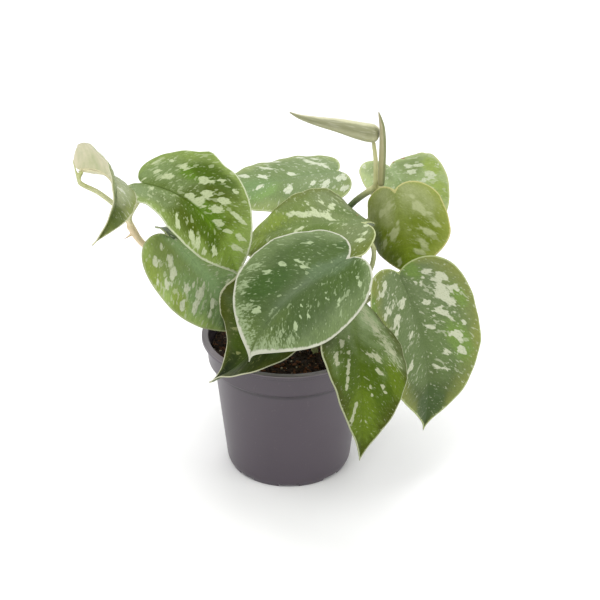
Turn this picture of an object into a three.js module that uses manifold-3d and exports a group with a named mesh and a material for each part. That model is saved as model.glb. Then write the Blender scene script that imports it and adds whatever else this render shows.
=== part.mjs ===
// A satin pothos (Scindapsus pictus) in a round nursery pot.
//
// Millimetres, +Z up, origin at the centre of the pot's underside. +X is to the right and +Y is
// away from the side that the plant shows best. Every leaf grows from the same formula: a flat
// heart-shaped outline that is folded along its midrib, cambered, arched and twisted.

import * as THREE from 'three';
import { mergeVertices } from 'three/addons/utils/BufferGeometryUtils.js';
import Module from 'manifold-3d';

const wasm = await Module();
wasm.setup();

// ---------------------------------------------------------------- driving dimensions

const POT = {
  rimRadius: 60,
  height: 100.3,
  lipHeight: 2.8,
  wall: 1.8,
  collarTopRadius: 56.7,
  collarBottomRadius: 55.7,
  collarDepth: 18.4,
  stepHeight: 2.2,
  bodyTopRadius: 51.7,
  bodyBottomRadius: 43.4,
  baseRadius: 41.3,
  edgeHeight: 4.5,
  edgeRound: 0.6,
  footRound: 1.5,
  stepRound: 0.8,
  floor: 2.4,
  sides: 64,
};
const FEET = { count: 8, gapWidth: 14, gapHeight: 2.2, innerRadius: 33, firstDegrees: -90 };
const DRAIN = { count: 8, radius: 3.2, ringRadius: 26, sides: 12 };

const SOIL = {
  top: 89.5, dome: 2.2, rings: 5, clearance: 0.3, sides: 48, holeDepth: 26, holeSides: 16,
  lump: 0.9, lumpAcross: 5.3, lumpDeep: 4.7, lumpSlant: 9, lumpFade: 6,
};

const BLADE = {
  thickness: 1.1, rows: 16, columns: 3, arcSteps: 32, lobeSteps: 8, rowCrowding: 1.7,
  lobeReach: 0.3, liftEnd: 0.45, liftLimit: 1.6,
};
const PETIOLE = { rootRadius: 2.1, topRadius: 1.6, neck: 7, stepsPerStop: 3 };

// The clearance around every root and between a petiole and the blade that it carries.
const SEAT = 0.35;

// The young leaf that is still rolled lies from seat to tip, and the closed spear stands on its node.
// Stops are [x, y, z, radius].
const ROLLED = {
  seat: [58, 45, 224],
  stops: [
    [61.9, 45, 229.6, 2], [60.5, 45, 229.8, 5], [56.6, 45, 230.4, 6.8], [47.5, 45, 232.5, 6.5],
    [34.3, 45, 236.2, 5.2], [20.2, 45, 239.3, 3.6], [8, 45, 242.7, 1.9], [0.9, 45, 246, 0.5],
  ],
};
const SPEAR = {
  seat: [63.5, 40, 193.8],
  stops: [
    [63.5, 40, 194.2, 2.1], [63.6, 40, 197.4, 2.5], [63.9, 40, 211.6, 2.6], [64, 40, 225.7, 2.5],
    [63.4, 40, 236.8, 2], [62, 40, 243.9, 1.2], [60.9, 40, 248.4, 0.4],
  ],
};

const STEM = { sides: 8, longSteps: 26, shortSteps: 8, aboveSoil: 5 };
const NUB = { tipRadius: 0.4, steps: 3, sides: 6 };
const YOUNG = { rolledSteps: 20, rolledSides: 14, spearSteps: 14, spearSides: 12 };

const COLOUR = {
  pot: 0x5f5a5d,
  soil: 0x2a1c16,
  stem: 0x9aa06a,
  leaf: 0x5f7f52,
  youngLeaf: 0xa6a884,
};
const ROUGHNESS = { pot: 0.6, soil: 0.95, stem: 0.5, leaf: 0.45 };

// ---------------------------------------------------------------- leaves
//
// at      the point where the petiole meets the blade
// yaw     compass direction of the midrib seen from above, from +X towards +Y; pitch is its climb
// roll    turn of the blade about its midrib
// length  from the petiole to the tip; right and left are the widths of the two halves
// arch    how far the midrib curls down from base to tip, more of it near the tip as ramp grows
// sweep   how far the midrib bends sideways, and twist how far the blade turns about it
// fold    rise of each half from the midrib, camber its curl down to the margin
// lift    extra fold at the lobes, back how far the lobes curl down behind the petiole
// lobe    how far each lobe reaches back, widest where the blade is widest, both in lengths
// tip     how blunt the tip is, in widths

const LEAVES = {
  leaf_front: {
    at: [38.5, -70, 194.7], yaw: 205, pitch: -20, roll: -6,
    length: 96, right: 46, left: 46, lobeRight: 0.09, lobeLeft: 0.08, widest: 0.42, tip: 0.06,
    arch: 60, ramp: 0.95, sweep: -5, twist: -3, back: 7,
    foldRight: 24, foldLeft: 20, camberRight: 24, camberLeft: 66, liftRight: -12, liftLeft: 3,
  },
  leaf_right: {
    at: [74.3, -14, 153.6], yaw: -30, pitch: -59, roll: 21,
    length: 118, right: 40, left: 44, lobeRight: 0.08, lobeLeft: 0.04, widest: 0.39, tip: 0.04,
    arch: 35, ramp: 0.35, sweep: 21, twist: 6, back: 4,
    foldRight: 18, foldLeft: 20, camberRight: 11, camberLeft: 16, liftRight: -7, liftLeft: 21,
  },
  leaf_low: {
    at: [40, -64, 158.7], yaw: -80, pitch: -25, roll: -24,
    length: 109, right: 40, left: 40, lobeRight: 0.12, lobeLeft: 0.12, widest: 0.29, tip: 0.12,
    arch: 39, ramp: 0.63, sweep: -4, twist: -3, back: 6,
    foldRight: 21, foldLeft: 11, camberRight: 5, camberLeft: 30, liftRight: -3, liftLeft: -18,
  },
  leaf_round: {
    at: [72.1, 22, 197.6], yaw: -69, pitch: -52, roll: 24,
    length: 59, right: 34, left: 34, lobeRight: 0.12, lobeLeft: 0.1, widest: 0.43, tip: 0.17,
    arch: 11, ramp: 0.36, sweep: 7, twist: 18, back: 14,
    foldRight: -7, foldLeft: -3, camberRight: 61, camberLeft: 41, liftRight: -10, liftLeft: -5,
  },
  leaf_back_right: {
    at: [71.3, 83, 186.5], yaw: -66, pitch: -17, roll: 8,
    length: 72, right: 29, left: 32, lobeRight: 0.13, lobeLeft: 0.09, widest: 0.33, tip: 0.1,
    arch: 34, ramp: 0.43, sweep: -4, twist: -17, back: 13,
    foldRight: 25, foldLeft: 20, camberRight: 19, camberLeft: -27, liftRight: -4, liftLeft: -19,
  },
  leaf_back: {
    at: [34.5, 83, 183.6], yaw: 199, pitch: 3, roll: -5,
    length: 106, right: 34, left: 34, lobeRight: 0.04, lobeLeft: 0.05, widest: 0.34, tip: 0.11,
    arch: 25, ramp: 0.49, sweep: 1, twist: 0, back: 9,
    foldRight: 10, foldLeft: 10, camberRight: 35, camberLeft: 46, liftRight: 1, liftLeft: -3,
  },
  leaf_middle: {
    at: [49.7, -2, 186.1], yaw: 183, pitch: 6, roll: -25,
    length: 100, right: 43, left: 35, lobeRight: 0.11, lobeLeft: 0.08, widest: 0.34, tip: 0.11,
    arch: 70, ramp: 0.14, sweep: 12, twist: 8, back: 4,
    foldRight: 1, foldLeft: 12, camberRight: 26, camberLeft: 40, liftRight: -33, liftLeft: 12,
  },
  leaf_upper_left: {
    at: [-97.1, -3, 216.1], yaw: -26, pitch: 3, roll: -19,
    length: 101, right: 34, left: 35, lobeRight: 0.11, lobeLeft: 0.07, widest: 0.37, tip: 0.12,
    arch: 100, ramp: 0.54, sweep: 13, twist: 63, back: 12,
    foldRight: 17, foldLeft: 46, camberRight: 9, camberLeft: 11, liftRight: -31, liftLeft: -1,
  },
  leaf_lower_left: {
    at: [-80.6, -10, 180.9], yaw: -15, pitch: -42, roll: 29,
    length: 95, right: 34, left: 33, lobeRight: 0.09, lobeLeft: 0.11, widest: 0.34, tip: 0.15,
    arch: 48, ramp: 0.37, sweep: 2, twist: 10, back: 13,
    foldRight: 8, foldLeft: 2, camberRight: 35, camberLeft: 15, liftRight: -4, liftLeft: -43,
  },
  leaf_shaded: {
    at: [-4, -29, 154.5], yaw: 260, pitch: -58, roll: 13,
    length: 89, right: 40, left: 39, lobeRight: 0.12, lobeLeft: 0.12, widest: 0.33, tip: 0.1,
    arch: -35, ramp: 0.46, sweep: 60, twist: 72, back: 10,
    foldRight: 30, foldLeft: 20, camberRight: 0, camberLeft: 31, liftRight: 10, liftLeft: -1,
  },
  leaf_far_left: {
    at: [-136.4, 0, 224.1], yaw: -47, pitch: 23, roll: -46,
    length: 109, right: 21, left: 20, lobeRight: 0.13, lobeLeft: 0.12, widest: 0.32, tip: 0.06,
    arch: 100, ramp: 0.37, sweep: 1, twist: -23, back: 9,
    foldRight: 50, foldLeft: 24, camberRight: 56, camberLeft: 25, liftRight: 26, liftLeft: 6,
  },
};

const radians = THREE.MathUtils.degToRad;
const mix = THREE.MathUtils.lerp;

// ---------------------------------------------------------------- shared geometry

function meshFromTriangles(points, triangles) {
  const geometry = new THREE.BufferGeometry();
  const position = points.flatMap((p) => [p.x, p.y, p.z]);
  geometry.setAttribute('position', new THREE.Float32BufferAttribute(position, 3));
  geometry.setIndex(triangles.flat());
  return geometry;
}

function toSolid(geometry) {
  const bare = geometry.clone();
  bare.deleteAttribute('normal');
  bare.deleteAttribute('uv');
  const merged = mergeVertices(bare, 1e-4);
  return new wasm.Manifold(new wasm.Mesh({
    numProp: 3,
    vertProperties: new Float32Array(merged.attributes.position.array),
    triVerts: new Uint32Array(merged.index.array),
  }));
}

function toGeometry(solid) {
  const mesh = solid.getMesh();
  const geometry = new THREE.BufferGeometry();
  const position = [];
  for (let i = 0; i < mesh.vertProperties.length; i += mesh.numProp) {
    position.push(mesh.vertProperties[i], mesh.vertProperties[i + 1], mesh.vertProperties[i + 2]);
  }
  geometry.setAttribute('position', new THREE.Float32BufferAttribute(position, 3));
  geometry.setIndex(Array.from(mesh.triVerts));
  return geometry;
}

function join(geometries) {
  const solids = geometries.map(toSolid);
  return toGeometry(solids.slice(1).reduce((sum, solid) => sum.add(solid), solids[0]));
}

function lathe(profile, sides) {
  const geometry = new THREE.LatheGeometry(profile.map(([r, z]) => new THREE.Vector2(r, z)), sides);
  return geometry.rotateX(Math.PI / 2);
}

// A round rod along a smooth path, closed at both ends. Each stop is [x, y, z, radius].
function rod(stops, steps, sides = STEM.sides) {
  const curve = new THREE.CatmullRomCurve3(stops.map(([x, y, z]) => new THREE.Vector3(x, y, z)));
  const frames = curve.computeFrenetFrames(steps, false);
  const points = [];
  for (let i = 0; i <= steps; i += 1) {
    const u = i / steps;
    const along = curve.getUtoTmapping(u) * (stops.length - 1);
    const stop = Math.min(Math.floor(along), stops.length - 2);
    const radius = mix(stops[stop][3], stops[stop + 1][3], along - stop);
    const centre = curve.getPointAt(u);
    for (let k = 0; k < sides; k += 1) {
      const angle = 2 * Math.PI * k / sides;
      points.push(centre.clone()
        .addScaledVector(frames.normals[i], radius * Math.cos(angle))
        .addScaledVector(frames.binormals[i], radius * Math.sin(angle)));
    }
  }
  points.push(curve.getPointAt(0), curve.getPointAt(1));
  const first = points.length - 2;
  const last = points.length - 1;
  const triangles = [];
  for (let k = 0; k < sides; k += 1) {
    const next = (k + 1) % sides;
    for (let i = 0; i < steps; i += 1) {
      const low = i * sides;
      const high = low + sides;
      triangles.push([low + k, low + next, high + next], [low + k, high + next, high + k]);
    }
    triangles.push([first, next, k], [last, steps * sides + k, steps * sides + next]);
  }
  return meshFromTriangles(points, triangles);
}

// ---------------------------------------------------------------- leaf blade

function cubic(a, b, c, d, t) {
  const s = 1 - t;
  return s * s * s * a + 3 * s * s * t * b + 3 * s * t * t * c + t * t * t * d;
}

// Half of the flat heart: u runs from the petiole (0) round the lobe to the widest place (0.5) and
// on to the tip (1). The result is [across, along].
function outline(u, width, length, lobe, widest, tip) {
  if (u < 0.5) {
    const t = 2 * u;
    return [
      width * cubic(0, 0.12, 1, 1, t),
      length * cubic(0, -1.5 * lobe, -1.1 * lobe - 0.08, widest, t),
    ];
  }
  const t = 2 * u - 1;
  return [width * cubic(1, 1, tip, 0, t), length * cubic(widest, widest + 0.36, 0.86, 1, t)];
}

// The blade's frame at the petiole: along the midrib, out of the upper face, and to the right.
function baseFrame(leaf) {
  const yaw = radians(leaf.yaw);
  const pitch = radians(leaf.pitch);
  const roll = radians(leaf.roll);
  const along = new THREE.Vector3(
    Math.cos(pitch) * Math.cos(yaw), Math.cos(pitch) * Math.sin(yaw), Math.sin(pitch));
  const up = new THREE.Vector3(
    -Math.sin(pitch) * Math.cos(yaw), -Math.sin(pitch) * Math.sin(yaw), Math.cos(pitch));
  const right = new THREE.Vector3().crossVectors(along, up);
  const rolledUp = up.clone().multiplyScalar(Math.cos(roll)).addScaledVector(right, Math.sin(roll));
  const rolledRight = right.clone().multiplyScalar(Math.cos(roll)).addScaledVector(up, -Math.sin(roll));
  return { along, up: rolledUp, right: rolledRight };
}

// Steps the frame along the midrib. bend, sweep and twist are turns per millimetre.
function march(frame, sign, reach, steps, bend, sweep, twist) {
  const stations = [];
  const step = reach / steps;
  const at = new THREE.Vector3();
  let { along, up, right } = frame;
  for (let i = 0; i < steps; i += 1) {
    const turn = bend((i + 0.5) / steps) * step;
    const nextAlong = along.clone()
      .addScaledVector(up, -turn)
      .addScaledVector(right, sweep * step)
      .normalize();
    const nextUp = up.clone().addScaledVector(along, turn).addScaledVector(right, twist * step);
    nextUp.addScaledVector(nextAlong, -nextUp.dot(nextAlong)).normalize();
    at.addScaledVector(along, sign * step / 2).addScaledVector(nextAlong, sign * step / 2);
    along = nextAlong;
    up = nextUp;
    right = new THREE.Vector3().crossVectors(along, up);
    stations.push({ s: sign * step * (i + 1), at: at.clone(), up, right });
  }
  return stations;
}

function midrib(leaf) {
  const frame = baseFrame(leaf);
  const arch = radians(leaf.arch) / leaf.length;
  const bend = (s) => arch * (1 - leaf.ramp + 2 * leaf.ramp * s);
  const reach = BLADE.lobeReach * leaf.length;
  const droop = radians(leaf.back) / reach;
  const ahead = march(frame, 1, leaf.length, BLADE.arcSteps, bend,
    radians(leaf.sweep) / leaf.length, radians(leaf.twist) / leaf.length);
  const behind = march(frame, -1, reach, BLADE.lobeSteps, () => -droop, 0, 0);
  const start = { s: 0, at: new THREE.Vector3(), up: frame.up, right: frame.right };
  return [...behind.reverse(), start, ...ahead];
}

function stationAt(stations, s) {
  const found = stations.findIndex((one) => one.s >= s);
  const next = found < 0 ? stations.length - 1 : Math.max(found, 1);
  const a = stations[next - 1];
  const b = stations[next];
  const share = THREE.MathUtils.clamp((s - a.s) / (b.s - a.s), 0, 1);
  return {
    at: a.at.clone().lerp(b.at, share),
    up: a.up.clone().lerp(b.up, share),
    right: a.right.clone().lerp(b.right, share),
  };
}

// A point of the blade's middle surface. side is 1 on the right half and -1 on the left.
function bladePoint(leaf, stations, side, across, along) {
  const right = side > 0;
  const width = right ? leaf.right : leaf.left;
  const nearness = 1 - along / (BLADE.liftEnd * leaf.length);
  const near = THREE.MathUtils.clamp(nearness, 0, BLADE.liftLimit) ** 2;
  const lift = (right ? leaf.liftRight : leaf.liftLeft) * near;
  const fold = radians((right ? leaf.foldRight : leaf.foldLeft) + lift);
  const camber = radians(right ? leaf.camberRight : leaf.camberLeft) || 1e-4;
  const slope = fold - camber * across / width;
  const station = stationAt(stations, along);
  return station.at.clone()
    .addScaledVector(station.right, side * (width / camber) * (Math.sin(fold) - Math.sin(slope)))
    .addScaledVector(station.up, (width / camber) * (Math.cos(slope) - Math.cos(fold)));
}

// Rows run from petiole to tip and columns from the left margin to the right one.
function bladeGrid(leaf) {
  const stations = midrib(leaf);
  const grid = [];
  for (let row = 0; row <= BLADE.rows; row += 1) {
    const u = row / BLADE.rows;
    const ribAlong = leaf.length * u ** BLADE.rowCrowding;
    const line = [];
    for (let column = -BLADE.columns; column <= BLADE.columns; column += 1) {
      const side = column < 0 ? -1 : 1;
      const width = side > 0 ? leaf.right : leaf.left;
      const lobe = side > 0 ? leaf.lobeRight : leaf.lobeLeft;
      const [across, along] = outline(u, width, leaf.length, lobe, leaf.widest, leaf.tip);
      const share = Math.abs(column) / BLADE.columns;
      line.push(bladePoint(leaf, stations, side, share * across, mix(ribAlong, along, share)));
    }
    grid.push(line);
  }
  return grid;
}

function bladeGeometry(leaf) {
  const grid = bladeGrid(leaf);
  const middle = [];
  const index = grid.map((line, row) => line.map((point, column) => {
    const single = row === 0 || row === BLADE.rows;
    if (!single || column === 0) {
      middle.push(point);
    }
    return middle.length - 1;
  }));
  const upper = [];
  const addTriangle = (a, b, c) => {
    if (a !== b && b !== c && c !== a) {
      upper.push([a, b, c]);
    }
  };
  for (let row = 0; row < BLADE.rows; row += 1) {
    for (let column = 0; column < 2 * BLADE.columns; column += 1) {
      const corners = [
        index[row][column], index[row][column + 1], index[row + 1][column + 1], index[row + 1][column],
      ];
      const [a, b, c, d] = column < BLADE.columns ? corners : [...corners.slice(1), corners[0]];
      addTriangle(a, b, c);
      addTriangle(a, c, d);
    }
  }

  const normals = middle.map(() => new THREE.Vector3());
  for (const triangle of upper) {
    const [a, b, c] = triangle.map((i) => middle[i]);
    const normal = b.clone().sub(a).cross(c.clone().sub(a));
    triangle.forEach((i) => normals[i].add(normal));
  }
  const half = BLADE.thickness / 2;
  const top = middle.map((p, i) => p.clone().addScaledVector(normals[i].normalize(), half));
  const bottom = middle.map((p, i) => p.clone().addScaledVector(normals[i], -half));

  const count = middle.length;
  const triangles = [...upper, ...upper.map(([a, b, c]) => [a + count, c + count, b + count])];
  const rightMargin = index.map((line) => line[2 * BLADE.columns]);
  const leftMargin = index.map((line) => line[0]).reverse();
  const margin = [...rightMargin, ...leftMargin.slice(1, -1)];
  margin.forEach((u, i) => {
    const v = margin[(i + 1) % margin.length];
    triangles.push([u, u + count, v + count], [u, v + count, v]);
  });
  const geometry = meshFromTriangles([...top, ...bottom], triangles);
  return geometry.translate(...leaf.at);
}

// Where a petiole ends under the blade: just clear of it, and clear of lobes that droop.
function seatOf(leaf, radius) {
  const { up } = baseFrame(leaf);
  const droop = Math.min(leaf.foldRight + leaf.liftRight, leaf.foldLeft + leaf.liftLeft, 0);
  const drop = BLADE.thickness / 2 + SEAT + (radius + SEAT) * Math.tan(radians(-droop));
  return { end: new THREE.Vector3(...leaf.at).addScaledVector(up, -drop), up };
}

// A petiole from its root through hand-set stops, ending square to the blade it carries.
function petiole(leaf, stops) {
  const { end, up } = seatOf(leaf, PETIOLE.topRadius);
  const neck = end.clone().addScaledVector(up, -PETIOLE.neck);
  const path = [...stops, neck.toArray(), end.toArray()];
  const tapered = path.map((stop, i) => (
    [...stop, mix(PETIOLE.rootRadius, PETIOLE.topRadius, i / (path.length - 1))]));
  return rod(tapered, PETIOLE.stepsPerStop * path.length);
}

// ---------------------------------------------------------------- pot

const collarBottom = POT.height - POT.collarDepth;
const bodyTop = collarBottom - POT.stepHeight;
const floorTop = FEET.gapHeight + POT.floor;

function potOutside() {
  const lipBottom = POT.height - POT.lipHeight;
  return [
    [0, 0],
    [POT.baseRadius - POT.footRound, 0],
    [POT.baseRadius, POT.edgeRound],
    [POT.bodyBottomRadius - POT.edgeRound, 0.6 * POT.edgeHeight],
    [POT.bodyBottomRadius, POT.edgeHeight],
    [POT.bodyTopRadius, bodyTop],
    [POT.collarBottomRadius - POT.stepRound, collarBottom - POT.stepRound / 2],
    [POT.collarBottomRadius, collarBottom + POT.edgeRound],
    [POT.collarTopRadius, lipBottom],
    [POT.rimRadius - POT.edgeRound / 2, lipBottom],
    [POT.rimRadius, lipBottom + POT.edgeRound],
    [POT.rimRadius, POT.height - POT.edgeRound],
    [POT.rimRadius - POT.edgeRound, POT.height],
  ];
}

// The inner wall from the rim down to the floor, moved inwards by a clearance.
function potInside(clearance) {
  const inset = POT.wall + clearance;
  return [
    [POT.collarTopRadius - inset, POT.height - POT.edgeRound],
    [POT.collarBottomRadius - inset, collarBottom + POT.wall],
    [POT.bodyTopRadius - inset, bodyTop + POT.stepRound],
    [POT.bodyBottomRadius - inset, POT.edgeHeight + POT.footRound],
    [POT.bodyBottomRadius - inset - POT.footRound, floorTop + clearance],
  ];
}

function makePot() {
  const mouth = [POT.collarTopRadius - POT.wall + POT.edgeRound, POT.height];
  const profile = [...potOutside(), mouth, ...potInside(0), [0, floorTop]];
  let pot = toSolid(lathe(profile, POT.sides));
  const reach = POT.rimRadius - FEET.innerRadius;
  for (let i = 0; i < FEET.count; i += 1) {
    const angle = radians(FEET.firstDegrees + i * 360 / FEET.count);
    const gap = new THREE.BoxGeometry(reach, FEET.gapWidth, 2 * FEET.gapHeight);
    gap.translate(FEET.innerRadius + reach / 2, 0, 0).rotateZ(angle);
    pot = pot.subtract(toSolid(gap));
  }
  for (let i = 0; i < DRAIN.count; i += 1) {
    const angle = radians(FEET.firstDegrees + i * 360 / DRAIN.count);
    const hole = new THREE.CylinderGeometry(DRAIN.radius, DRAIN.radius, 4 * floorTop, DRAIN.sides);
    hole.rotateX(Math.PI / 2);
    hole.translate(DRAIN.ringRadius * Math.cos(angle), DRAIN.ringRadius * Math.sin(angle), 0);
    pot = pot.subtract(toSolid(hole));
  }
  return toGeometry(pot);
}

// ---------------------------------------------------------------- soil

// The mix fills the pot and rises a little to the middle, with low lumps over its top.
function makeSoil(roots) {
  const wall = potInside(SOIL.clearance);
  const [belowTop, aboveStep] = [wall[1], wall[0]];
  const share = (SOIL.top - belowTop[1]) / (aboveStep[1] - belowTop[1]);
  const edge = mix(belowTop[0], aboveStep[0], share);
  const top = [];
  for (let i = 0; i <= SOIL.rings; i += 1) {
    const r = edge * i / SOIL.rings;
    top.push([r, SOIL.top + SOIL.dome * Math.cos(r / edge * Math.PI / 2)]);
  }
  const profile = [[0, floorTop + SOIL.clearance], ...wall.slice(1).reverse(), ...top.reverse()];
  const geometry = lathe(profile, SOIL.sides);
  const position = geometry.attributes.position;
  for (let i = 0; i < position.count; i += 1) {
    const x = position.getX(i);
    const y = position.getY(i);
    const inward = 1 - Math.hypot(x, y) / edge;
    if (position.getZ(i) >= SOIL.top && inward > 0.01) {
      const wave = Math.sin(x / SOIL.lumpAcross) * Math.cos(y / SOIL.lumpDeep + x / SOIL.lumpSlant);
      const fade = Math.min(1, SOIL.lumpFade * inward);
      position.setZ(i, position.getZ(i) + SOIL.lump * wave * fade);
    }
  }
  let soil = toSolid(geometry);
  for (const [x, y, radius] of roots) {
    const hole = new THREE.CylinderGeometry(
      radius + SEAT, radius + SEAT, 2 * SOIL.holeDepth, SOIL.holeSides);
    hole.rotateX(Math.PI / 2).translate(x, y, SOIL.top);
    soil = soil.subtract(toSolid(hole));
  }
  return toGeometry(soil);
}

// The stretch of a stem that stands in its hole, ending just above the soil.
function rooted([x, y, radius]) {
  const bottom = SOIL.top - SOIL.holeDepth + SEAT;
  const heights = [bottom, mix(bottom, SOIL.top, 0.5), SOIL.top, SOIL.top + STEM.aboveSoil];
  return heights.map((z) => [x, y, z, radius]);
}

// ---------------------------------------------------------------- stems

// Where each stem stands in the soil: [x, y, radius].
const ROOTS = {
  left: [-14, 5, 2.6],
  right: [6, 18, 2.5],
  front: [18, -12, 2.6],
  side: [31, 6, 2.5],
  shaded: [-6, -10, 2.1],
};

// A small pointed knob on a stem, such as an aerial root or a bud scale.
function nub(from, to, radius) {
  return rod([[...from, radius], [...to, NUB.tipRadius]], NUB.steps, NUB.sides);
}

// The vine that leans out to the left, with the petioles of the three leaves at that side.
function makeVineLeft() {
  const node = [-107, 5, 181];
  const stem = rod([
    ...rooted(ROOTS.left),
    [-22, 7, 103, 2.5], [-46, 10, 124, 2.4], [-76, 11, 147, 2.4], [-99, 10, 164, 2.4], [...node, 3],
  ], STEM.longSteps);
  const upper = petiole(LEAVES.leaf_upper_left, [[-103, 8, 172], [-107, 4, 186]]);
  const lower = petiole(LEAVES.leaf_lower_left, [[-58, 10.5, 134], [-72, 6, 150], [-84, -4, 165]]);
  const far = petiole(LEAVES.leaf_far_left, [[-104, 8, 174], [-112, 8, 189], [-126, -1, 208]]);
  const nubs = [
    nub([-104.5, 7, 174], [-111.5, 2.5, 171], 1.5),
    nub([-105, 6.5, 176.5], [-108.5, 10.5, 174], 1.2),
    nub([-138.7, -5, 218.5], [-142.8, 0, 233.2], 1.3),
  ];
  return join([stem, upper, lower, far, ...nubs]);
}

// The vine at the back, with a node that carries the spear and the petioles of three leaves.
function makeVineRight() {
  const stem = rod([
    ...rooted(ROOTS.right),
    [10, 23, 107, 2.4], [20, 37, 130, 2.3], [31, 50, 153, 2.3], [42.8, 53.5, 171, 2.3],
    [55, 45.5, 186, 2.4], [61, 42, 191.5, 2.9],
  ], STEM.longSteps);
  const spearSeat = rod(
    [[62.6, 41.5, 188, 2.6], [63.4, 40.1, 191, 2.8], [...SPEAR.seat, 2.4]], STEM.shortSteps);
  const rolled = rod([
    [60.4, 43, 190, 2], [60, 44.5, 199, 1.9], [59.6, 44.8, 211, 1.7], [...ROLLED.seat, 1.5],
  ], STEM.shortSteps);
  const backRight = petiole(LEAVES.leaf_back_right, [[31, 50, 153], [45, 57, 150], [60, 70, 156]]);
  const back = petiole(LEAVES.leaf_back, [[24, 42, 138], [29, 51, 165]]);
  return join([stem, spearSeat, rolled, backRight, back]);
}

// The short stem in the middle of the pot, with the petioles of the leaves in front.
function makeVineFront() {
  const stem = rod([...rooted(ROOTS.front), [19, -12, 103, 2.4]], STEM.shortSteps);
  const front = petiole(LEAVES.leaf_front, [[18.3, -12, 98], [22, -10, 120], [32, -18, 151]]);
  const low = petiole(LEAVES.leaf_low, [[18.8, -12, 96], [28, -21, 110], [38, -38, 127]]);
  const middle = petiole(LEAVES.leaf_middle, [[18, -11.6, 97], [38, -4, 124], [56, 0, 150], [57.5, 2, 166]]);
  return join([stem, front, low, middle]);
}

// The short stem at the right, with the petioles of the hanging leaf and the round one.
function makeVineSide() {
  const stem = rod([...rooted(ROOTS.side), [32, 6, 102, 2.3]], STEM.shortSteps);
  const hanging = petiole(LEAVES.leaf_right, [[31.6, 6, 97], [42, 5, 110], [57, 3, 127]]);
  const round = petiole(LEAVES.leaf_round, [[31.4, 6.4, 98], [42, 16, 122], [54, 34, 160], [65, 34.5, 181]]);
  return join([stem, hanging, round]);
}

// The petiole of the shaded leaf comes straight out of the soil.
function makeVineShaded() {
  return petiole(LEAVES.leaf_shaded, rooted(ROOTS.shaded).map((stop) => stop.slice(0, 3)));
}

// ---------------------------------------------------------------- the potted plant

function material(colour, roughness) {
  return new THREE.MeshStandardMaterial({ color: colour, roughness, metalness: 0 });
}

const plant = new THREE.Group();

function addPiece(name, geometry, colour, roughness) {
  const piece = new THREE.Mesh(geometry, material(colour, roughness));
  piece.name = name;
  plant.add(piece);
}

addPiece('pot', makePot(), COLOUR.pot, ROUGHNESS.pot);
addPiece('soil', makeSoil(Object.values(ROOTS)), COLOUR.soil, ROUGHNESS.soil);
addPiece('vine_left', makeVineLeft(), COLOUR.stem, ROUGHNESS.stem);
addPiece('vine_right', makeVineRight(), COLOUR.stem, ROUGHNESS.stem);
addPiece('vine_front', makeVineFront(), COLOUR.stem, ROUGHNESS.stem);
addPiece('vine_side', makeVineSide(), COLOUR.stem, ROUGHNESS.stem);
addPiece('petiole_shaded', makeVineShaded(), COLOUR.stem, ROUGHNESS.stem);
for (const [name, leaf] of Object.entries(LEAVES)) {
  addPiece(name, bladeGeometry(leaf), COLOUR.leaf, ROUGHNESS.leaf);
}
const rolled = rod(ROLLED.stops, YOUNG.rolledSteps, YOUNG.rolledSides);
const spear = rod(SPEAR.stops, YOUNG.spearSteps, YOUNG.spearSides);
addPiece('leaf_rolled', rolled, COLOUR.youngLeaf, ROUGHNESS.leaf);
addPiece('leaf_spear', spear, COLOUR.youngLeaf, ROUGHNESS.leaf);

export default plant;
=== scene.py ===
"""The looks of a satin pothos (Scindapsus pictus) in its nursery pot, built around the CAD part.

Metres, +Z up, the same frame as the CAD. Every leaf blade is a finer version of the CAD's own: the
same heart-shaped outline, folded, cambered, arched and twisted by the same values, which LEAVES
gives in millimetres and degrees. The stems and the pot follow their CAD solids.
"""
import math
import random

import bmesh
import bpy
import numpy as np
from mathutils import Matrix, Vector, noise


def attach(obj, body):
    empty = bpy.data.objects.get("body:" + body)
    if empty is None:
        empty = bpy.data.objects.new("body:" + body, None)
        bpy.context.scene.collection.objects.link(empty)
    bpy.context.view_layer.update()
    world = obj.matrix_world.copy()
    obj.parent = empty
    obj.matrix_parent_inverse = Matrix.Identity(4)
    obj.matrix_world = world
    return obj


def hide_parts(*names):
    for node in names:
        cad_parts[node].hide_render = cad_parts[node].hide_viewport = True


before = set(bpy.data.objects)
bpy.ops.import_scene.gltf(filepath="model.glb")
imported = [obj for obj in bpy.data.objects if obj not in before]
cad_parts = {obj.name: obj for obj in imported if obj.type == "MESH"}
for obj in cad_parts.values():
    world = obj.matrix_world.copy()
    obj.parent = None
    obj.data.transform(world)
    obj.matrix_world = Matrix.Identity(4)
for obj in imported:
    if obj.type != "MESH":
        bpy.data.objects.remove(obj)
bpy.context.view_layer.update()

MM = 0.001

# ---------------- the leaves' form

# Thickness and bulge of the edge in mm, and the share of the thickness that the margin lacks.
BLADE_THICKNESS = 1.0
RIM_BULGE = 0.25
EDGE_THINNING = 0.35
# Steps along the midrib and behind the petiole, and the blade's grid.
ARC_STEPS, LOBE_STEPS = 32, 8
ROWS, HALF_COLUMNS = 104, 20
# Shares of the leaf's length: the lobes' reach behind the petiole, and where their lift ends.
LOBE_REACH = 0.3
LIFT_END = 0.45
# The midrib under a margin point at u is at this power of u, and its crease is this soft.
RIB_POWER = 1.7
CREASE = 1.2
# Side veins leave the midrib at a slant, curve towards the tip and stand this far apart in mm.
VEIN_SLANT, VEIN_CURVE = 0.45, 0.005
SIDE_VEIN = 5.2
# Relief in mm: the tissue between the side veins, the margin's waves (height, length), and the
# groove over the midrib and the keel below it (height, half width, share where it has run out).
SWELL = 0.14
WAVES = ((0.55, 31), (0.3, 14))
GROOVE = (0.18, 2.4, 1.2)
KEEL = (0.75, 1.1, 1.05)

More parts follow.
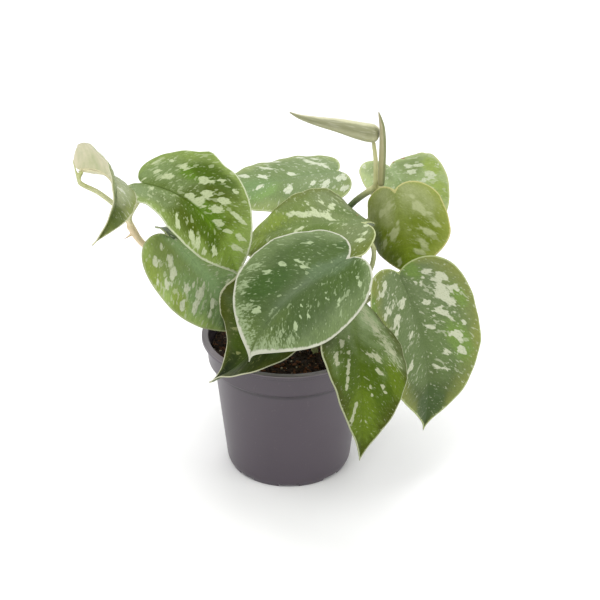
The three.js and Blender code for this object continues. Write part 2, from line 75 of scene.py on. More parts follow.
# at                      where the petiole meets the blade
# yaw, pitch, roll        the midrib's direction there, and how the blade is turned about it
# length, right, left     the midrib's length and the halves' widths
# arch, ramp              the midrib's bend downward, and how much stronger it gets to the tip
# sweep, twist            the midrib's bend to the right, and the blade's turn about it
# fold, camber            the halves' rise from the midrib, and their curve back down
# lift, back              the lobes' extra rise, and their droop behind the petiole
# lobe, widest, tip       the lobes' depth, the widest place and the bluntness of the tip
#
# Pairs are of the right half and the left.
LEAVES = {
    "leaf_front": dict(
        at=(38.5, -70, 194.7), yaw=205, pitch=-20, roll=-6, length=96, right=46, left=46,
        arch=60, ramp=0.95, sweep=-5, twist=-3, fold=(24, 20), camber=(24, 66),
        lift=(-12, 3), back=7, lobe=(0.09, 0.08), widest=0.42, tip=0.06),
    "leaf_right": dict(
        at=(74.3, -14, 153.6), yaw=-30, pitch=-59, roll=21, length=118, right=40, left=44,
        arch=35, ramp=0.35, sweep=21, twist=6, fold=(18, 20), camber=(11, 16),
        lift=(-7, 21), back=4, lobe=(0.08, 0.04), widest=0.39, tip=0.04),
    "leaf_low": dict(
        at=(40, -64, 158.7), yaw=-80, pitch=-25, roll=-24, length=109, right=40, left=40,
        arch=39, ramp=0.63, sweep=-4, twist=-3, fold=(21, 11), camber=(5, 30),
        lift=(-3, -18), back=6, lobe=(0.12, 0.12), widest=0.29, tip=0.12),
    "leaf_round": dict(
        at=(72.1, 22, 197.6), yaw=-69, pitch=-52, roll=24, length=59, right=34, left=34,
        arch=11, ramp=0.36, sweep=7, twist=18, fold=(-7, -3), camber=(61, 41),
        lift=(-10, -5), back=14, lobe=(0.12, 0.1), widest=0.43, tip=0.17),
    "leaf_back_right": dict(
        at=(71.3, 83, 186.5), yaw=-66, pitch=-17, roll=8, length=72, right=29, left=32,
        arch=34, ramp=0.43, sweep=-4, twist=-17, fold=(25, 20), camber=(19, -27),
        lift=(-4, -19), back=13, lobe=(0.13, 0.09), widest=0.33, tip=0.1),
    "leaf_back": dict(
        at=(34.5, 83, 183.6), yaw=199, pitch=3, roll=-5, length=106, right=34, left=34,
        arch=25, ramp=0.49, sweep=1, twist=0, fold=(10, 10), camber=(35, 46),
        lift=(1, -3), back=9, lobe=(0.04, 0.05), widest=0.34, tip=0.11),
    "leaf_middle": dict(
        at=(49.7, -2, 186.1), yaw=183, pitch=6, roll=-25, length=100, right=43, left=35,
        arch=70, ramp=0.14, sweep=12, twist=8, fold=(1, 12), camber=(26, 40),
        lift=(-33, 12), back=4, lobe=(0.11, 0.08), widest=0.34, tip=0.11),
    "leaf_upper_left": dict(
        at=(-97.1, -3, 216.1), yaw=-26, pitch=3, roll=-19, length=101, right=34, left=35,
        arch=100, ramp=0.54, sweep=13, twist=63, fold=(17, 46), camber=(9, 11),
        lift=(-31, -1), back=12, lobe=(0.11, 0.07), widest=0.37, tip=0.12),
    "leaf_lower_left": dict(
        at=(-80.6, -10, 180.9), yaw=-15, pitch=-42, roll=29, length=95, right=34, left=33,
        arch=48, ramp=0.37, sweep=2, twist=10, fold=(8, 2), camber=(35, 15),
        lift=(-4, -43), back=13, lobe=(0.09, 0.11), widest=0.34, tip=0.15),
    "leaf_shaded": dict(
        at=(-4, -29, 154.5), yaw=260, pitch=-58, roll=13, length=89, right=40, left=39,
        arch=-35, ramp=0.46, sweep=60, twist=72, fold=(30, 20), camber=(0, 31),
        lift=(10, -1), back=10, lobe=(0.12, 0.12), widest=0.33, tip=0.1),
    "leaf_far_left": dict(
        at=(-136.4, 0, 224.1), yaw=-47, pitch=23, roll=-46, length=109, right=21, left=20,
        arch=100, ramp=0.37, sweep=1, twist=-23, fold=(50, 24), camber=(56, 25),
        lift=(26, 6), back=9, lobe=(0.13, 0.12), widest=0.32, tip=0.06),
}

# Stops of the rolled leaf and the spear are (x, y, z, radius).
ROLLED = [
    (61.9, 45, 229.6, 2), (60.5, 45, 229.8, 5), (56.6, 45, 230.4, 6.8), (47.5, 45, 232.5, 6.5),
    (34.3, 45, 236.2, 5.2), (20.2, 45, 239.3, 3.6), (8, 45, 242.7, 1.9), (0.9, 45, 246, 0.5),
]
SPEAR = [
    (63.5, 40, 194.2, 2.1), (63.6, 40, 197.4, 2.5), (63.9, 40, 211.6, 2.6), (64, 40, 225.7, 2.5),
    (63.4, 40, 236.8, 2), (62, 40, 243.9, 1.2), (60.9, 40, 248.4, 0.4),
]

# Irregular places of a margin: (side, u, spread, outward mm), with u as in half_outline.
MARGIN_BUMPS = {
    "leaf_front": [(1, 0.62, 0.2, -1.2), (1, 0.88, 0.07, -0.8), (-1, 0.72, 0.22, -1.4)],
    "leaf_upper_left": [(-1, 0.475, 0.016, 2.2), (-1, 0.52, 0.022, -1.6), (-1, 0.39, 0.05, -1.3)],
    "leaf_back_right": [(-1, 0.3, 0.025, -1.2), (-1, 0.38, 0.02, -0.8)],
    "leaf_middle": [(-1, 0.33, 0.06, 3.2), (1, 0.5, 0.06, -1.2), (1, 0.39, 0.02, -1.0)],
    "leaf_right": [(-1, 0.62, 0.05, -0.8), (1, 0.42, 0.05, 0.8)],
}

# ---------------- the leaves' looks
#
# Colours are screen colours from 0 to 255:
# base, middle, apex      the upper face from the petiole to the tip, partly painted satin sheen
# edge, centre            the upper face along the margin and beside the midrib
# glow, shade             a fresher and a deeper green, which show at the places glows and shades;
#                         the deeper green is partly painted shadow
# splash, rim, under      the silver, the pale margin, and the lower face
#
# Places are (across, along, reach in mm), in percent of the wider half and of the length; across
# is positive on the right half:
# rounded, slim, streaks  the large silver splashes, by how narrow they are
# frost, scars            closely speckled places, and brown, dry spots
#
# rim_width               the margin's width in mm at the base and at the tip of each half
# flecks                  how many of the small flecks there are
# gloss                   the specular level of the upper face
# blur, silver            how soft the splashes' borders are, and how strong their colour is

COLOURS = ("base", "middle", "apex", "edge", "centre", "glow", "shade", "splash", "rim", "under")
NARROWNESS = {"rounded": 0.7, "slim": 0.5, "streaks": 0.3}
SCAR = (132, 98, 58)
USUAL_LOOK = dict(under=(150, 163, 128), blur=0.09, silver=0.9, frost=[], scars=[],
                  rounded=[], slim=[], streaks=[])

LOOKS = {
    "leaf_front": dict(
        base=(64, 85, 33), middle=(65, 83, 41), apex=(88, 106, 54), edge=(103, 120, 76),
        centre=(98, 113, 85), glow=(82, 102, 66), shade=(52, 78, 24), splash=(152, 167, 128),
        rim=(182, 183, 166), rim_width=((1.1, 2.9), (1.2, 3.3)), flecks=0.015, gloss=0.15,
        glows=[(-5, 6, 12), (6, 20, 10)], shades=[(22, -8, 8), (40, 50, 16)],
        frost=[(50, 78, 7.5), (32, 84, 10), (14, 90, 11.5), (68, 62, 6), (78, 50, 5),
            (-8, 92, 10.5), (-24, 84, 10), (-42, 78, 9), (-60, 68, 6.5), (0, 96, 12), (40, 70, 5),
            (-40, 68, 5)],
        rounded=[(59, 13, 3.8), (25, 68, 3.6), (-67, 26, 3.2)],
        slim=[(49, 36, 4.2), (56, 46, 4.2), (-49, 57, 4), (27, 3, 2.6), (60, 66, 3)],
        streaks=[(37, 27, 4.6), (26, 27, 4.8), (-66, 20, 3.6), (-46, 29, 3.6), (-44, 51, 3.2),
            (-53, 46, 3.4), (-50, 6, 2.8), (-62, 6, 2.8), (-37, 5, 2.4), (66, 56, 3),
            (-30, 45, 2.6), (-20, 70, 2.6)]),
    "leaf_right": dict(
        base=(101, 116, 77), middle=(93, 111, 65), apex=(48, 57, 6), edge=(120, 128, 64),
        centre=(85, 101, 60), glow=(104, 130, 58), shade=(62, 82, 42), splash=(182, 186, 160),
        rim=(157, 166, 117), rim_width=((0.8, 0.9), (0.8, 1)), flecks=0, gloss=0.13,
        glows=[(-60, 48, 14), (-20, 0, 9), (75, 6, 8), (-75, 25, 8)],
        shades=[(10, 85, 16), (-10, 80, 14)],
        rounded=[(-49, 18, 10), (-73, 20, 5), (-61, 54, 5.5), (43, 23, 6.5), (52, 29, 5)],
        slim=[(-57, 11, 7.5), (-38, 5, 6), (-59, 26, 7.5), (-42, 30, 9.5), (-57, 45, 7),
            (-30, 61, 5), (36, 1, 5.5), (53, 4, 5.5), (18, 15, 7), (41, 14, 7), (60, 16, 5.5),
            (40, 53, 7.5), (-72, 39, 4)],
        streaks=[(-34, 52, 8), (-21, 21, 6), (-15, 35, 6), (24, 35, 5), (-16, 59, 6),
            (-24, 10, 5)]),
    "leaf_low": dict(
        base=(127, 144, 101), middle=(62, 82, 2), apex=(58, 68, 2), edge=(58, 66, 2),
        centre=(72, 93, 2), glow=(84, 104, 12), shade=(56, 68, 16), splash=(156, 160, 130),
        rim=(153, 158, 125), under=(140, 150, 105), rim_width=((0.9, 0.8), (0.5, 0.7)),
        flecks=-0.07, gloss=0.1, glows=[(5, 72, 20), (-70, 50, 14)],
        shades=[(80, 30, 16), (60, 20, 12)],
        frost=[(-36, 10, 10), (-47, 16, 10), (-58, 24, 10), (-68, 32, 9), (-30, 3, 9)],
        rounded=[(-33, 37, 6), (28, 38, 3.4), (30, 42, 3.6), (33, 47, 3.4), (36, 51, 3.6),
            (38, 56, 3.6), (42, 60, 3.4), (62, 43, 4), (62, 48, 3.6), (44, 34, 4.5), (20, 70, 3.4),
            (24, 73, 3.6), (28, 77, 3.2), (-15, 57, 3.2), (-17, 61, 3.2), (-38, 55, 3),
            (-41, 58, 3.2)],
        slim=[(-19, 36, 5), (-34, 46, 4.5), (-58, 24, 6), (-68, 30, 5), (-42, 15, 5),
            (19, 27, 3.5)]),
    "leaf_round": dict(
        base=(136, 144, 96), middle=(92, 106, 26), apex=(103, 122, 25), edge=(124, 134, 58),
        centre=(100, 114, 34), glow=(96, 110, 26), shade=(84, 98, 28), splash=(155, 161, 119),
        rim=(172, 168, 112), rim_width=((1.2, 0.8), (1.1, 0.8)), flecks=-0.02, gloss=0.1, blur=0.26,
        silver=0.72, glows=[(60, 60, 12)], shades=[(30, 80, 12), (70, 50, 9)],
        rounded=[(18, 13, 5.5), (18, 48, 5.5), (-41, 23, 5.5), (-37, 65, 5.5), (19, 82, 4)],
        slim=[(39, 20, 4.5), (49, 57, 4.5), (-53, 31, 5), (-53, 53, 6.5), (-23, 73, 5),
            (-69, 46, 4.5), (6, 35, 4)],
        streaks=[(-32, 9, 5)]),
    "leaf_back_right": dict(
        base=(109, 126, 75), middle=(150, 168, 114), apex=(140, 156, 96), edge=(156, 170, 116),
        centre=(150, 168, 122), glow=(134, 152, 70), shade=(110, 130, 76), splash=(181, 188, 159),
        rim=(169, 176, 125), rim_width=((0.9, 0.9), (0.9, 0.9)), flecks=0.02, gloss=0.16,
        glows=[(-80, 25, 9), (-70, 50, 9)], shades=[(0, 30, 10)],
        scars=[(-13, -6, 1.8), (-39, -7, 2.2), (-61, -6, 2), (-72, -3, 1.4)],
        rounded=[(-36, 8, 4.5), (-66, 32, 5.5), (58, -6, 4.5)],
        slim=[(-56, 15, 5), (-36, 18, 4.5), (-2, 19, 4.5), (-53, 34, 5.5), (78, 14, 4)],
        streaks=[(-90, 26, 4)]),
    "leaf_back": dict(
        base=(113, 130, 85), middle=(101, 120, 69), apex=(126, 148, 98), edge=(135, 149, 88),
        centre=(101, 122, 74), glow=(112, 142, 74), shade=(104, 130, 78), splash=(188, 194, 170),
        rim=(169, 178, 134), rim_width=((0.9, 0.9), (0.9, 0.9)), flecks=0.03, gloss=0.16,
        glows=[(-30, 55, 12)], shades=[(-10, 60, 16)], rounded=[(-28, 0, 6.5), (-62, 2, 5)],
        slim=[(-43, 13, 7), (-38, 21, 6), (-43, 39, 7), (8, 31, 6), (38, 61, 7), (-11, 55, 7),
            (50, 45, 6), (20, 50, 6)],
        streaks=[(40, 14, 10), (74, 19, 8), (23, 7, 7), (55, 10, 8), (83, 36, 7)]),
    "leaf_middle": dict(
        base=(103, 116, 73), middle=(102, 119, 59), apex=(96, 113, 9), edge=(92, 104, 32),
        centre=(98, 117, 67), glow=(120, 140, 48), shade=(84, 104, 44), splash=(178, 187, 150),
        rim=(174, 180, 134), rim_width=((0.9, 1), (0.9, 1)), flecks=0, gloss=0.13, blur=0.14,
        glows=[(30, 72, 18), (-10, 80, 12)], shades=[(30, 10, 12), (-20, 30, 12)],
        scars=[(33, 2, 1.6), (75, 4, 1.4)],
        rounded=[(28, 53, 4.6), (29, 48, 4.8), (21, 43, 5), (20, 38, 4.4), (25, 34, 5),
            (15, 30, 4.8), (23, 25, 4.6), (36, 22, 4.6), (47, 20, 3.4), (12, 23, 4.4), (3, 19, 4.2),
            (-2, 50, 3.4), (-14, 44, 3.4), (-10, 41, 3.2), (-44, 2, 4.5), (-30, 0, 3.6),
            (-10, -2, 3)],
        slim=[(51, 40, 3.6), (49, 29, 3.2), (32, 12, 3)]),
    "leaf_upper_left": dict(
        base=(112, 130, 80), middle=(66, 82, 3), apex=(126, 151, 64), edge=(122, 141, 72),
        centre=(73, 92, 6), glow=(84, 116, 20), shade=(62, 84, 2), splash=(170, 180, 140),
        rim=(178, 185, 153), under=(206, 206, 172), rim_width=((1, 1.3), (0.4, 1.3)), flecks=0.03,
        gloss=0.12, glows=[(0, 50, 14), (-55, 30, 10)],
        shades=[(-68, 35, 10), (-71, 45, 9), (17, 43, 9), (24, 57, 9), (24, 68, 9)],
        rounded=[(-57, 22, 6.6), (-26, 16, 5.7), (-34, 6, 4), (-10, 35, 5.7), (-12, 42, 5.5),
            (-34, 43, 5), (-46, 53, 4.8), (-24, 52, 6.4), (-13, 61, 5.5), (-49, 65, 4.4),
            (-49, 36, 5.1), (70, 47, 4.8), (62, 58, 4.6), (57, 64, 4.2), (50, 70, 3.8),
            (29, 73, 4)],
        slim=[(-54, 1, 4), (-19, 68, 4.4), (-75, 54, 3.9), (-71, 45, 3.1), (-17, 79, 4.4),
            (-33, 74, 4.4)],
        streaks=[(-8, 0, 4), (-61, 12, 4), (19, 12, 4.8), (77, 12, 4.8)]),
    "leaf_lower_left": dict(
        base=(126, 144, 80), middle=(130, 156, 100), apex=(70, 88, 40), edge=(156, 178, 98),
        centre=(152, 183, 132), glow=(136, 154, 66), shade=(34, 52, 8), splash=(200, 205, 178),
        rim=(167, 176, 130), rim_width=((1, 1), (0.9, 0.9)), flecks=0.03, gloss=0.14,
        glows=[(85, 10, 12), (80, 40, 10)],
        shades=[(-30, -7, 12), (-5, -6, 8), (-5, -1, 5.5), (-9, 4, 4), (10, 80, 14)],
        rounded=[(57, 6, 5), (36, 13, 6), (37, 46, 6), (85, 17, 4), (79, 43, 5), (59, 51, 6.5)],
        slim=[(50, 21, 7), (50, 35, 6), (35, 38, 3.5), (75, 24, 6), (46, 65, 5), (25, 58, 4.5)],
        streaks=[(16, 43, 5), (32, 2, 5), (-32, 56, 4)]),
    "leaf_shaded": dict(
        base=(84, 104, 60), middle=(62, 78, 22), apex=(12, 23, 2), edge=(74, 83, 20),
        centre=(66, 84, 34), glow=(60, 78, 10), shade=(40, 50, 14), splash=(122, 127, 80),
        rim=(190, 191, 160), rim_width=((1.1, 1.1), (0.5, 0.5)), flecks=-0.04, gloss=0.08,
        glows=[(30, 55, 14)], shades=[(-50, 60, 20), (-30, 30, 20)],
        slim=[(20, 67, 4), (50, 50, 5), (-25, 55, 4), (30, 20, 6), (-40, 20, 6)],
        streaks=[(62, 30, 6)]),
    "leaf_far_left": dict(
        base=(107, 119, 74), middle=(143, 152, 115), apex=(71, 78, 2), edge=(120, 130, 71),
        centre=(147, 150, 110), glow=(84, 100, 24), shade=(70, 84, 24), splash=(186, 190, 168),
        rim=(183, 182, 153), under=(206, 200, 168), rim_width=((1, 0.5), (1, 0.5)), flecks=0,
        gloss=0.14, glows=[(10, 80, 10)], shades=[(-20, 75, 10), (20, 65, 8)],
        rounded=[(-25, 50, 5)], slim=[(40, 40, 5)], streaks=[(-60, 35, 4)]),
}


# ---------------- node trees

def srgb(red, green, blue):
    """Linear colour of a screen colour from 0 to 255."""
    def linear(value):
        value /= 255
        return value / 12.92 if value <= 0.04045 else ((value + 0.055) / 1.055) ** 2.4
    return (linear(red), linear(green), linear(blue), 1.0)


def tinted(colour, red, green, blue):
    """The colour with its channels multiplied."""
    return (colour[0] * red, colour[1] * green, colour[2] * blue, 1.0)


class Material:
    """A material's node tree, with one short word for each kind of node it uses."""

    def __init__(self, name):
        self.material = bpy.data.materials.new(name)
        self.material.use_nodes = True
        self.nodes = self.material.node_tree.nodes
        self.links = self.material.node_tree.links
        self.shader = self.nodes["Principled BSDF"]

    def add(self, kind, inputs=(), **settings):
        node = self.nodes.new(kind)
        for name, value in settings.items():
            setattr(node, name, value)
        for key, value in dict(inputs).items():
            self.put(node.inputs[key], value)
        return node

    def put(self, socket, value):
        if isinstance(value, bpy.types.NodeSocket):
            self.links.new(value, socket)
        else:
            socket.default_value = value

    def set(self, **inputs):
        """Sets the shader's own sockets; roughness=... is the socket named Roughness."""
        for name, value in inputs.items():
            socket = name.replace("_", " ").title().replace("Ior", "IOR")
            self.put(self.shader.inputs[socket], value)

    def math(self, operation, a, b=0.0, c=0.0):
        return self.add("ShaderNodeMath", {0: a, 1: b, 2: c}, operation=operation).outputs[0]

    def times(self, a, b):
        return self.math("MULTIPLY", a, b)

    def plus(self, a, b):
        return self.math("ADD", a, b)

    def line(self, value, slope, start):
        return self.math("MULTIPLY_ADD", value, slope, start)

    def step(self, value, low, high):
        """0 below low and 1 above high, smooth between them; low may be the larger one."""
        inputs = {"Value": value, "From Min": low, "From Max": high}
        node = self.add("ShaderNodeMapRange", inputs, interpolation_type="SMOOTHSTEP")
        return node.outputs["Result"]

    def mix(self, factor, a, b):
        node = self.add("ShaderNodeMix", data_type="RGBA", clamp_factor=True)
        self.put(node.inputs["Factor"], factor)
        self.put(node.inputs[6], a)
        self.put(node.inputs[7], b)
        return node.outputs[2]

    def lay(self, under, over, cover, most):
        """The colour under, with over laid on it where cover is 1, up to the share most."""
        return self.mix(self.times(cover, most), under, over)

    def noise(self, vector, scale, detail=2.0, roughness=0.5):
        inputs = {"Vector": vector, "Scale": scale, "Detail": detail, "Roughness": roughness}
        return self.add("ShaderNodeTexNoise", inputs).outputs["Fac"]

    def attribute(self, name):
        return self.add("ShaderNodeAttribute", attribute_name=name).outputs["Fac"]

    def combine(self, x, y, z):
        return self.add("ShaderNodeCombineXYZ", {"X": x, "Y": y, "Z": z}).outputs[0]

    def place(self):
        return self.add("ShaderNodeTexCoord").outputs["Object"]

    def stretched(self, vector, along_z):
        """The vector with its Z multiplied."""
        node = self.add("ShaderNodeMapping", {"Vector": vector, "Scale": (1, 1, along_z)})
        return node.outputs[0]

    def bump(self, height, distance, strength, normal=None):
        inputs = {"Height": height, "Distance": distance, "Strength": strength}
        if normal is not None:
            inputs["Normal"] = normal
        return self.add("ShaderNodeBump", inputs).outputs[0]


def green_tissue(m, look, cloud, cells, grain):
    """Green from the petiole to the tip and the margin, with painted sheen and shadow and a fine
    cell pattern.
    """
    reach, progress = m.attribute("reach"), m.attribute("progress")
    # The ramp from the petiole to the tip is partly painted satin sheen.
    lean = m.plus(progress, m.line(cloud, 0.7, -0.35))
    green = m.mix(m.step(lean, 0.02, 0.5), look["base"], look["middle"])
    green = m.mix(m.step(lean, 0.5, 0.95), green, look["apex"])
    outer = m.line(cloud, 0.5, m.attribute("share"))
    green = m.mix(m.step(outer, 0.8, 1.3), green, look["edge"])
    midrib = m.times(m.step(m.line(grain, 0.04, reach), 0.1, 0.02), m.step(progress, 1.0, 0.25))
    green = m.lay(green, look["centre"], midrib, 0.55)
    fresh = m.plus(m.attribute("glows"), m.line(grain, 0.9, -0.45))
    green = m.lay(green, look["glow"], m.step(fresh, 0.15, 0.75), 0.85)
    # Painted shadow: the deeper green darkens places under other leaves, beyond folds and turned
    # from the light.
    dim = m.plus(m.attribute("shades"), m.line(grain, 0.5, -0.25))
    green = m.lay(green, look["shade"], m.step(dim, 0.15, 0.75), 0.85)
    green = m.lay(green, tinted(look["middle"], 0.35, 0.35, 0.35), m.step(cells, 0.62, 0.36), 0.2)
    return m.lay(green, look["splash"], m.step(grain, 0.52, 0.72), 0.05)


def splashes(m, look, flat, drawn, ragged):
    """Cover of the silver: large splashes at the marks, frost, and small flecks between them."""
    frayed = m.line(m.noise(drawn, 64, 1.5), 0.75, -0.375)
    value = m.plus(m.attribute("marks"), m.plus(ragged, frayed))
    large = m.step(value, 0.5 - look["blur"], 0.52 + look["blur"])
    gathered = m.line(m.noise(flat, 7.5, 1.0), 0.34, look["flecks"] - 0.17)
    gathered = m.line(m.step(m.attribute("progress"), 0.6, 0.85), -0.07, gathered)
    small = m.plus(m.line(frayed, 0.12, m.noise(drawn, 38, 1.0)), gathered)
    speck = m.line(m.attribute("frost"), 0.29, m.noise(drawn, 62, 2.0, 0.6))
    frost = m.times(m.step(speck, 0.6, 0.78), 0.75)
    cover = m.math("MAXIMUM", m.math("MAXIMUM", large, frost),
                   m.times(m.step(small, 0.65, 0.69), 0.5))
    return m.times(cover, m.step(m.attribute("reach"), 0.004, 0.022))


def side_veins(m):
    """Waves from -1 to 1 that run along the side veins."""
    return m.math("SINE", m.times(m.attribute("vein"), 2 * math.pi * 100 / SIDE_VEIN))


def leaf_upper(name, look, seed):
    """The satin upper face: green tissue, silver splashes along the side veins and a pale rim."""
    m = Material(name)
    reach = m.attribute("reach")
    flat = m.combine(m.attribute("across"), m.attribute("along"), seed)
    drawn = m.combine(m.attribute("vein"), m.times(reach, 0.6), seed)
    cloud = m.noise(flat, 5.5, 2.0)
    cells = m.noise(drawn, 105, 2.0, 0.6)
    grain = m.noise(drawn, 42, 3.0, 0.62)
    ragged = m.line(m.noise(drawn, 24, 1.0), 1.5, -0.75)

    splash = splashes(m, look, flat, drawn, ragged)
    dull = tuple(0.66 * a + 0.2 * b for a, b in zip(look["splash"][:3], look["base"][:3])) + (1,)
    silver = m.mix(m.step(cells, 0.5, 0.68), look["splash"], dull)
    colour = m.lay(green_tissue(m, look, cloud, cells, grain), silver, splash, look["silver"])
    border = m.plus(m.attribute("rim"), m.line(grain, 1.8, -0.9))
    colour = m.lay(colour, look["rim"], m.step(border, 1.25, 0.55), 0.9)
    if look["scars"]:
        scar = m.plus(m.attribute("scars"), m.times(ragged, 0.6))
        colour = m.mix(m.step(scar, 0.4, 0.6), colour, srgb(*SCAR))

    ribs = m.times(side_veins(m), m.times(m.step(reach, 0.0, 0.12), 0.14))
    relief = m.line(m.noise(flat, 34, 3.0), 0.5, m.times(splash, 0.12))
    normal = m.bump(cells, 0.00012, 0.6, m.bump(m.plus(relief, ribs), 0.0005, 0.55))
    m.set(base_color=colour, roughness=m.line(cloud, 0.16, 0.34), normal=normal,
          specular_ior_level=look["gloss"], sheen_weight=0.02, sheen_roughness=0.4)
    return m.material


def leaf_under(name, look, seed):
    """The matt lower face, paler than the upper one, with the side veins faintly raised."""
    m = Material(name)
    flat = m.combine(m.attribute("across"), m.attribute("along"), seed + 7.0)
    cloud = m.noise(flat, 7.0, 3.0)
    pale = look["under"]
    deep = tinted(pale, 0.68, 0.78, 0.6)
    colour = m.mix(m.step(cloud, 0.35, 0.75), pale, deep)
    colour = m.lay(colour, look["apex"], m.step(m.attribute("progress"), 0.45, 0.95), 0.75)
    ribs = side_veins(m)
    colour = m.lay(colour, deep, m.step(ribs, 0.8, 1.0), 0.2)
    midrib = m.step(m.attribute("reach"), 0.014, 0.005)
    colour = m.mix(midrib, colour, tinted(pale, 1.1, 1.1, 1.0))
    normal = m.bump(m.line(ribs, 0.3, m.noise(flat, 60, 3.0)), 0.0004, 0.5)
    m.set(base_color=colour, roughness=m.line(cloud, 0.15, 0.5), normal=normal)
    return m.material


# ---------------- meshes and objects

def add_object(name, data):
    """Puts the data in the scene."""
    thing = bpy.data.objects.new(name, data)
    bpy.context.scene.collection.objects.link(thing)
    return thing


def mesh_of(name, form):
    """The bmesh as a mesh; the bmesh is freed."""
    mesh = bpy.data.meshes.new(name)
    form.to_mesh(mesh)
    form.free()
    return mesh


def mesh_from(name, places, faces):
    """A mesh of smooth faces turned outward; places in millimetres."""
    mesh = bpy.data.meshes.new(name)
    mesh.from_pydata((places * MM).tolist(), [], faces)
    face_outward(mesh)
    smooth_faces(mesh)
    return mesh


def smooth_faces(mesh):
    mesh.polygons.foreach_set("use_smooth", [True] * len(mesh.polygons))


def write_attributes(mesh, values):
    """One value for each vertex under each name, for the materials to read."""
    for key, array in values.items():
        attribute = mesh.attributes.new(key, "FLOAT", "POINT")
        attribute.data.foreach_set("value", array.astype(np.float32))


def face_outward(mesh):
    form = bmesh.new()
    form.from_mesh(mesh)
    bmesh.ops.recalc_face_normals(form, faces=form.faces)
    form.to_mesh(mesh)
    form.free()


def grid_quads(index):
    """The corners of each cell of a grid of vertices."""
    corners = [index[:-1, :-1], index[:-1, 1:], index[1:, 1:], index[1:, :-1]]
    return np.stack(corners, -1).reshape(-1, 4)


def two_sheets(quads, count):
    """Faces of a sheet and of the one under it, whose vertices come count later."""
    faces = []
    for quad in quads.tolist():
        face = list(dict.fromkeys(quad))
        if len(face) > 2:
            faces += [face, [corner + count for corner in reversed(face)]]
    return faces


def ring_faces(low, high):
    """Faces between two closed rings of vertices."""
    return np.stack([low, high, np.roll(high, -1), np.roll(low, -1)], -1).tolist()


def settle(piece, slot, *nodes):
    """The piece hangs from the root body, and the CAD nodes it stands for are hidden; slot is not
    used.
    """
    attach(piece, "root")
    if nodes:
        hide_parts(*nodes)


# ---------------- leaf blades

def cubic(a, b, c, d, t):
    s = 1 - t
    return s ** 3 * a + 3 * s * s * t * b + 3 * s * t * t * c + t ** 3 * d


def half_outline(u, width, length, lobe, widest, tip):
    """(across, along) of the margin for u from the petiole (0) round the lobe (0.5) to the tip."""
    near, far = np.clip(2 * u, 0, 1), np.clip(2 * u - 1, 0, 1)
    lobe_part = u < 0.5
    across = np.where(lobe_part, cubic(0, 0.12, 1, 1, near), cubic(1, 1, tip, 0, far))
    along = np.where(lobe_part, cubic(0, -1.5 * lobe, -1.1 * lobe - 0.08, widest, near),
                     cubic(widest, widest + 0.36, 0.86, 1, far))
    return width * across, length * along


def midrib_stations(leaf):
    """Arc length, place, upper normal and right-hand direction along the midrib and behind it."""
    yaw, pitch, roll = (math.radians(leaf[key]) for key in ("yaw", "pitch", "roll"))
    level = np.array([math.cos(yaw), math.sin(yaw), 0])
    along = math.cos(pitch) * level + math.sin(pitch) * np.array([0, 0, 1])
    up = -math.sin(pitch) * level + math.cos(pitch) * np.array([0, 0, 1])
    right = np.cross(along, up)
    up, right = (up * math.cos(roll) + right * math.sin(roll),
                 right * math.cos(roll) - up * math.sin(roll))
    length = leaf["length"]

    def march(sign, reach, steps, bend, sweep, twist):
        stations, place, step = [], np.zeros(3), reach / steps
        t, n, b = along, up, right
        for i in range(steps):
            turn = bend((i + 0.5) / steps) * step
            ahead = t - turn * n + sweep * step * b
            ahead = ahead / np.linalg.norm(ahead)
            n = n + turn * t + twist * step * b
            n = n - ahead * n.dot(ahead)
            n = n / np.linalg.norm(n)
            place = place + sign * step * (t + ahead) / 2
            t, b = ahead, np.cross(ahead, n)
            stations.append((sign * step * (i + 1), place, n, b))
        return stations

    arch, ramp = math.radians(leaf["arch"]) / length, leaf["ramp"]
    reach = LOBE_REACH * length
    droop = math.radians(leaf["back"]) / reach
    ahead = march(1, length, ARC_STEPS, lambda s: arch * (1 - ramp + 2 * ramp * s),
                  math.radians(leaf["sweep"]) / length, math.radians(leaf["twist"]) / length)
    behind = march(-1, reach, LOBE_STEPS, lambda s: -droop, 0, 0)
    every = behind[::-1] + [(0.0, np.zeros(3), up, right)] + ahead
    return [np.array([station[k] for station in every]) for k in range(4)]


def half_of(leaf, side):
    """Index and width of the half on that side: 1 is the right one, -1 the left."""
    return (0, leaf["right"]) if side > 0 else (1, leaf["left"])


def vein_at(across, along):
    """Where the side vein through a place leaves the midrib."""
    return along - VEIN_SLANT * across - VEIN_CURVE * across ** 2


def blade_points(leaf, stations, side, across, along):
    """Points of the blade's middle; across is the distance from the midrib on that side."""
    arc, places, ups, rights = stations
    place, up, right = (np.stack([np.interp(along, arc, m[:, k]) for k in range(3)], -1)
                        for m in (places, ups, rights))
    half, width = half_of(leaf, side)
    near = np.clip(1 - along / (LIFT_END * leaf["length"]), 0, 1.6) ** 2
    fold = np.radians(leaf["fold"][half] + leaf["lift"][half] * near)
    camber = math.radians(leaf["camber"][half]) or 1e-4
    slope = fold - camber * across / width
    out = (width / camber) * (np.sin(fold) - np.sin(slope))
    rise = (width / camber) * (np.cos(slope) - np.cos(fold))
    # The crease along the midrib is a soft groove and not a sharp fold.
    rise = rise + np.sin(fold) * (np.sqrt(across ** 2 + CREASE ** 2) - across) * 0.5
    return place + side * out[..., None] * right + rise[..., None] * up


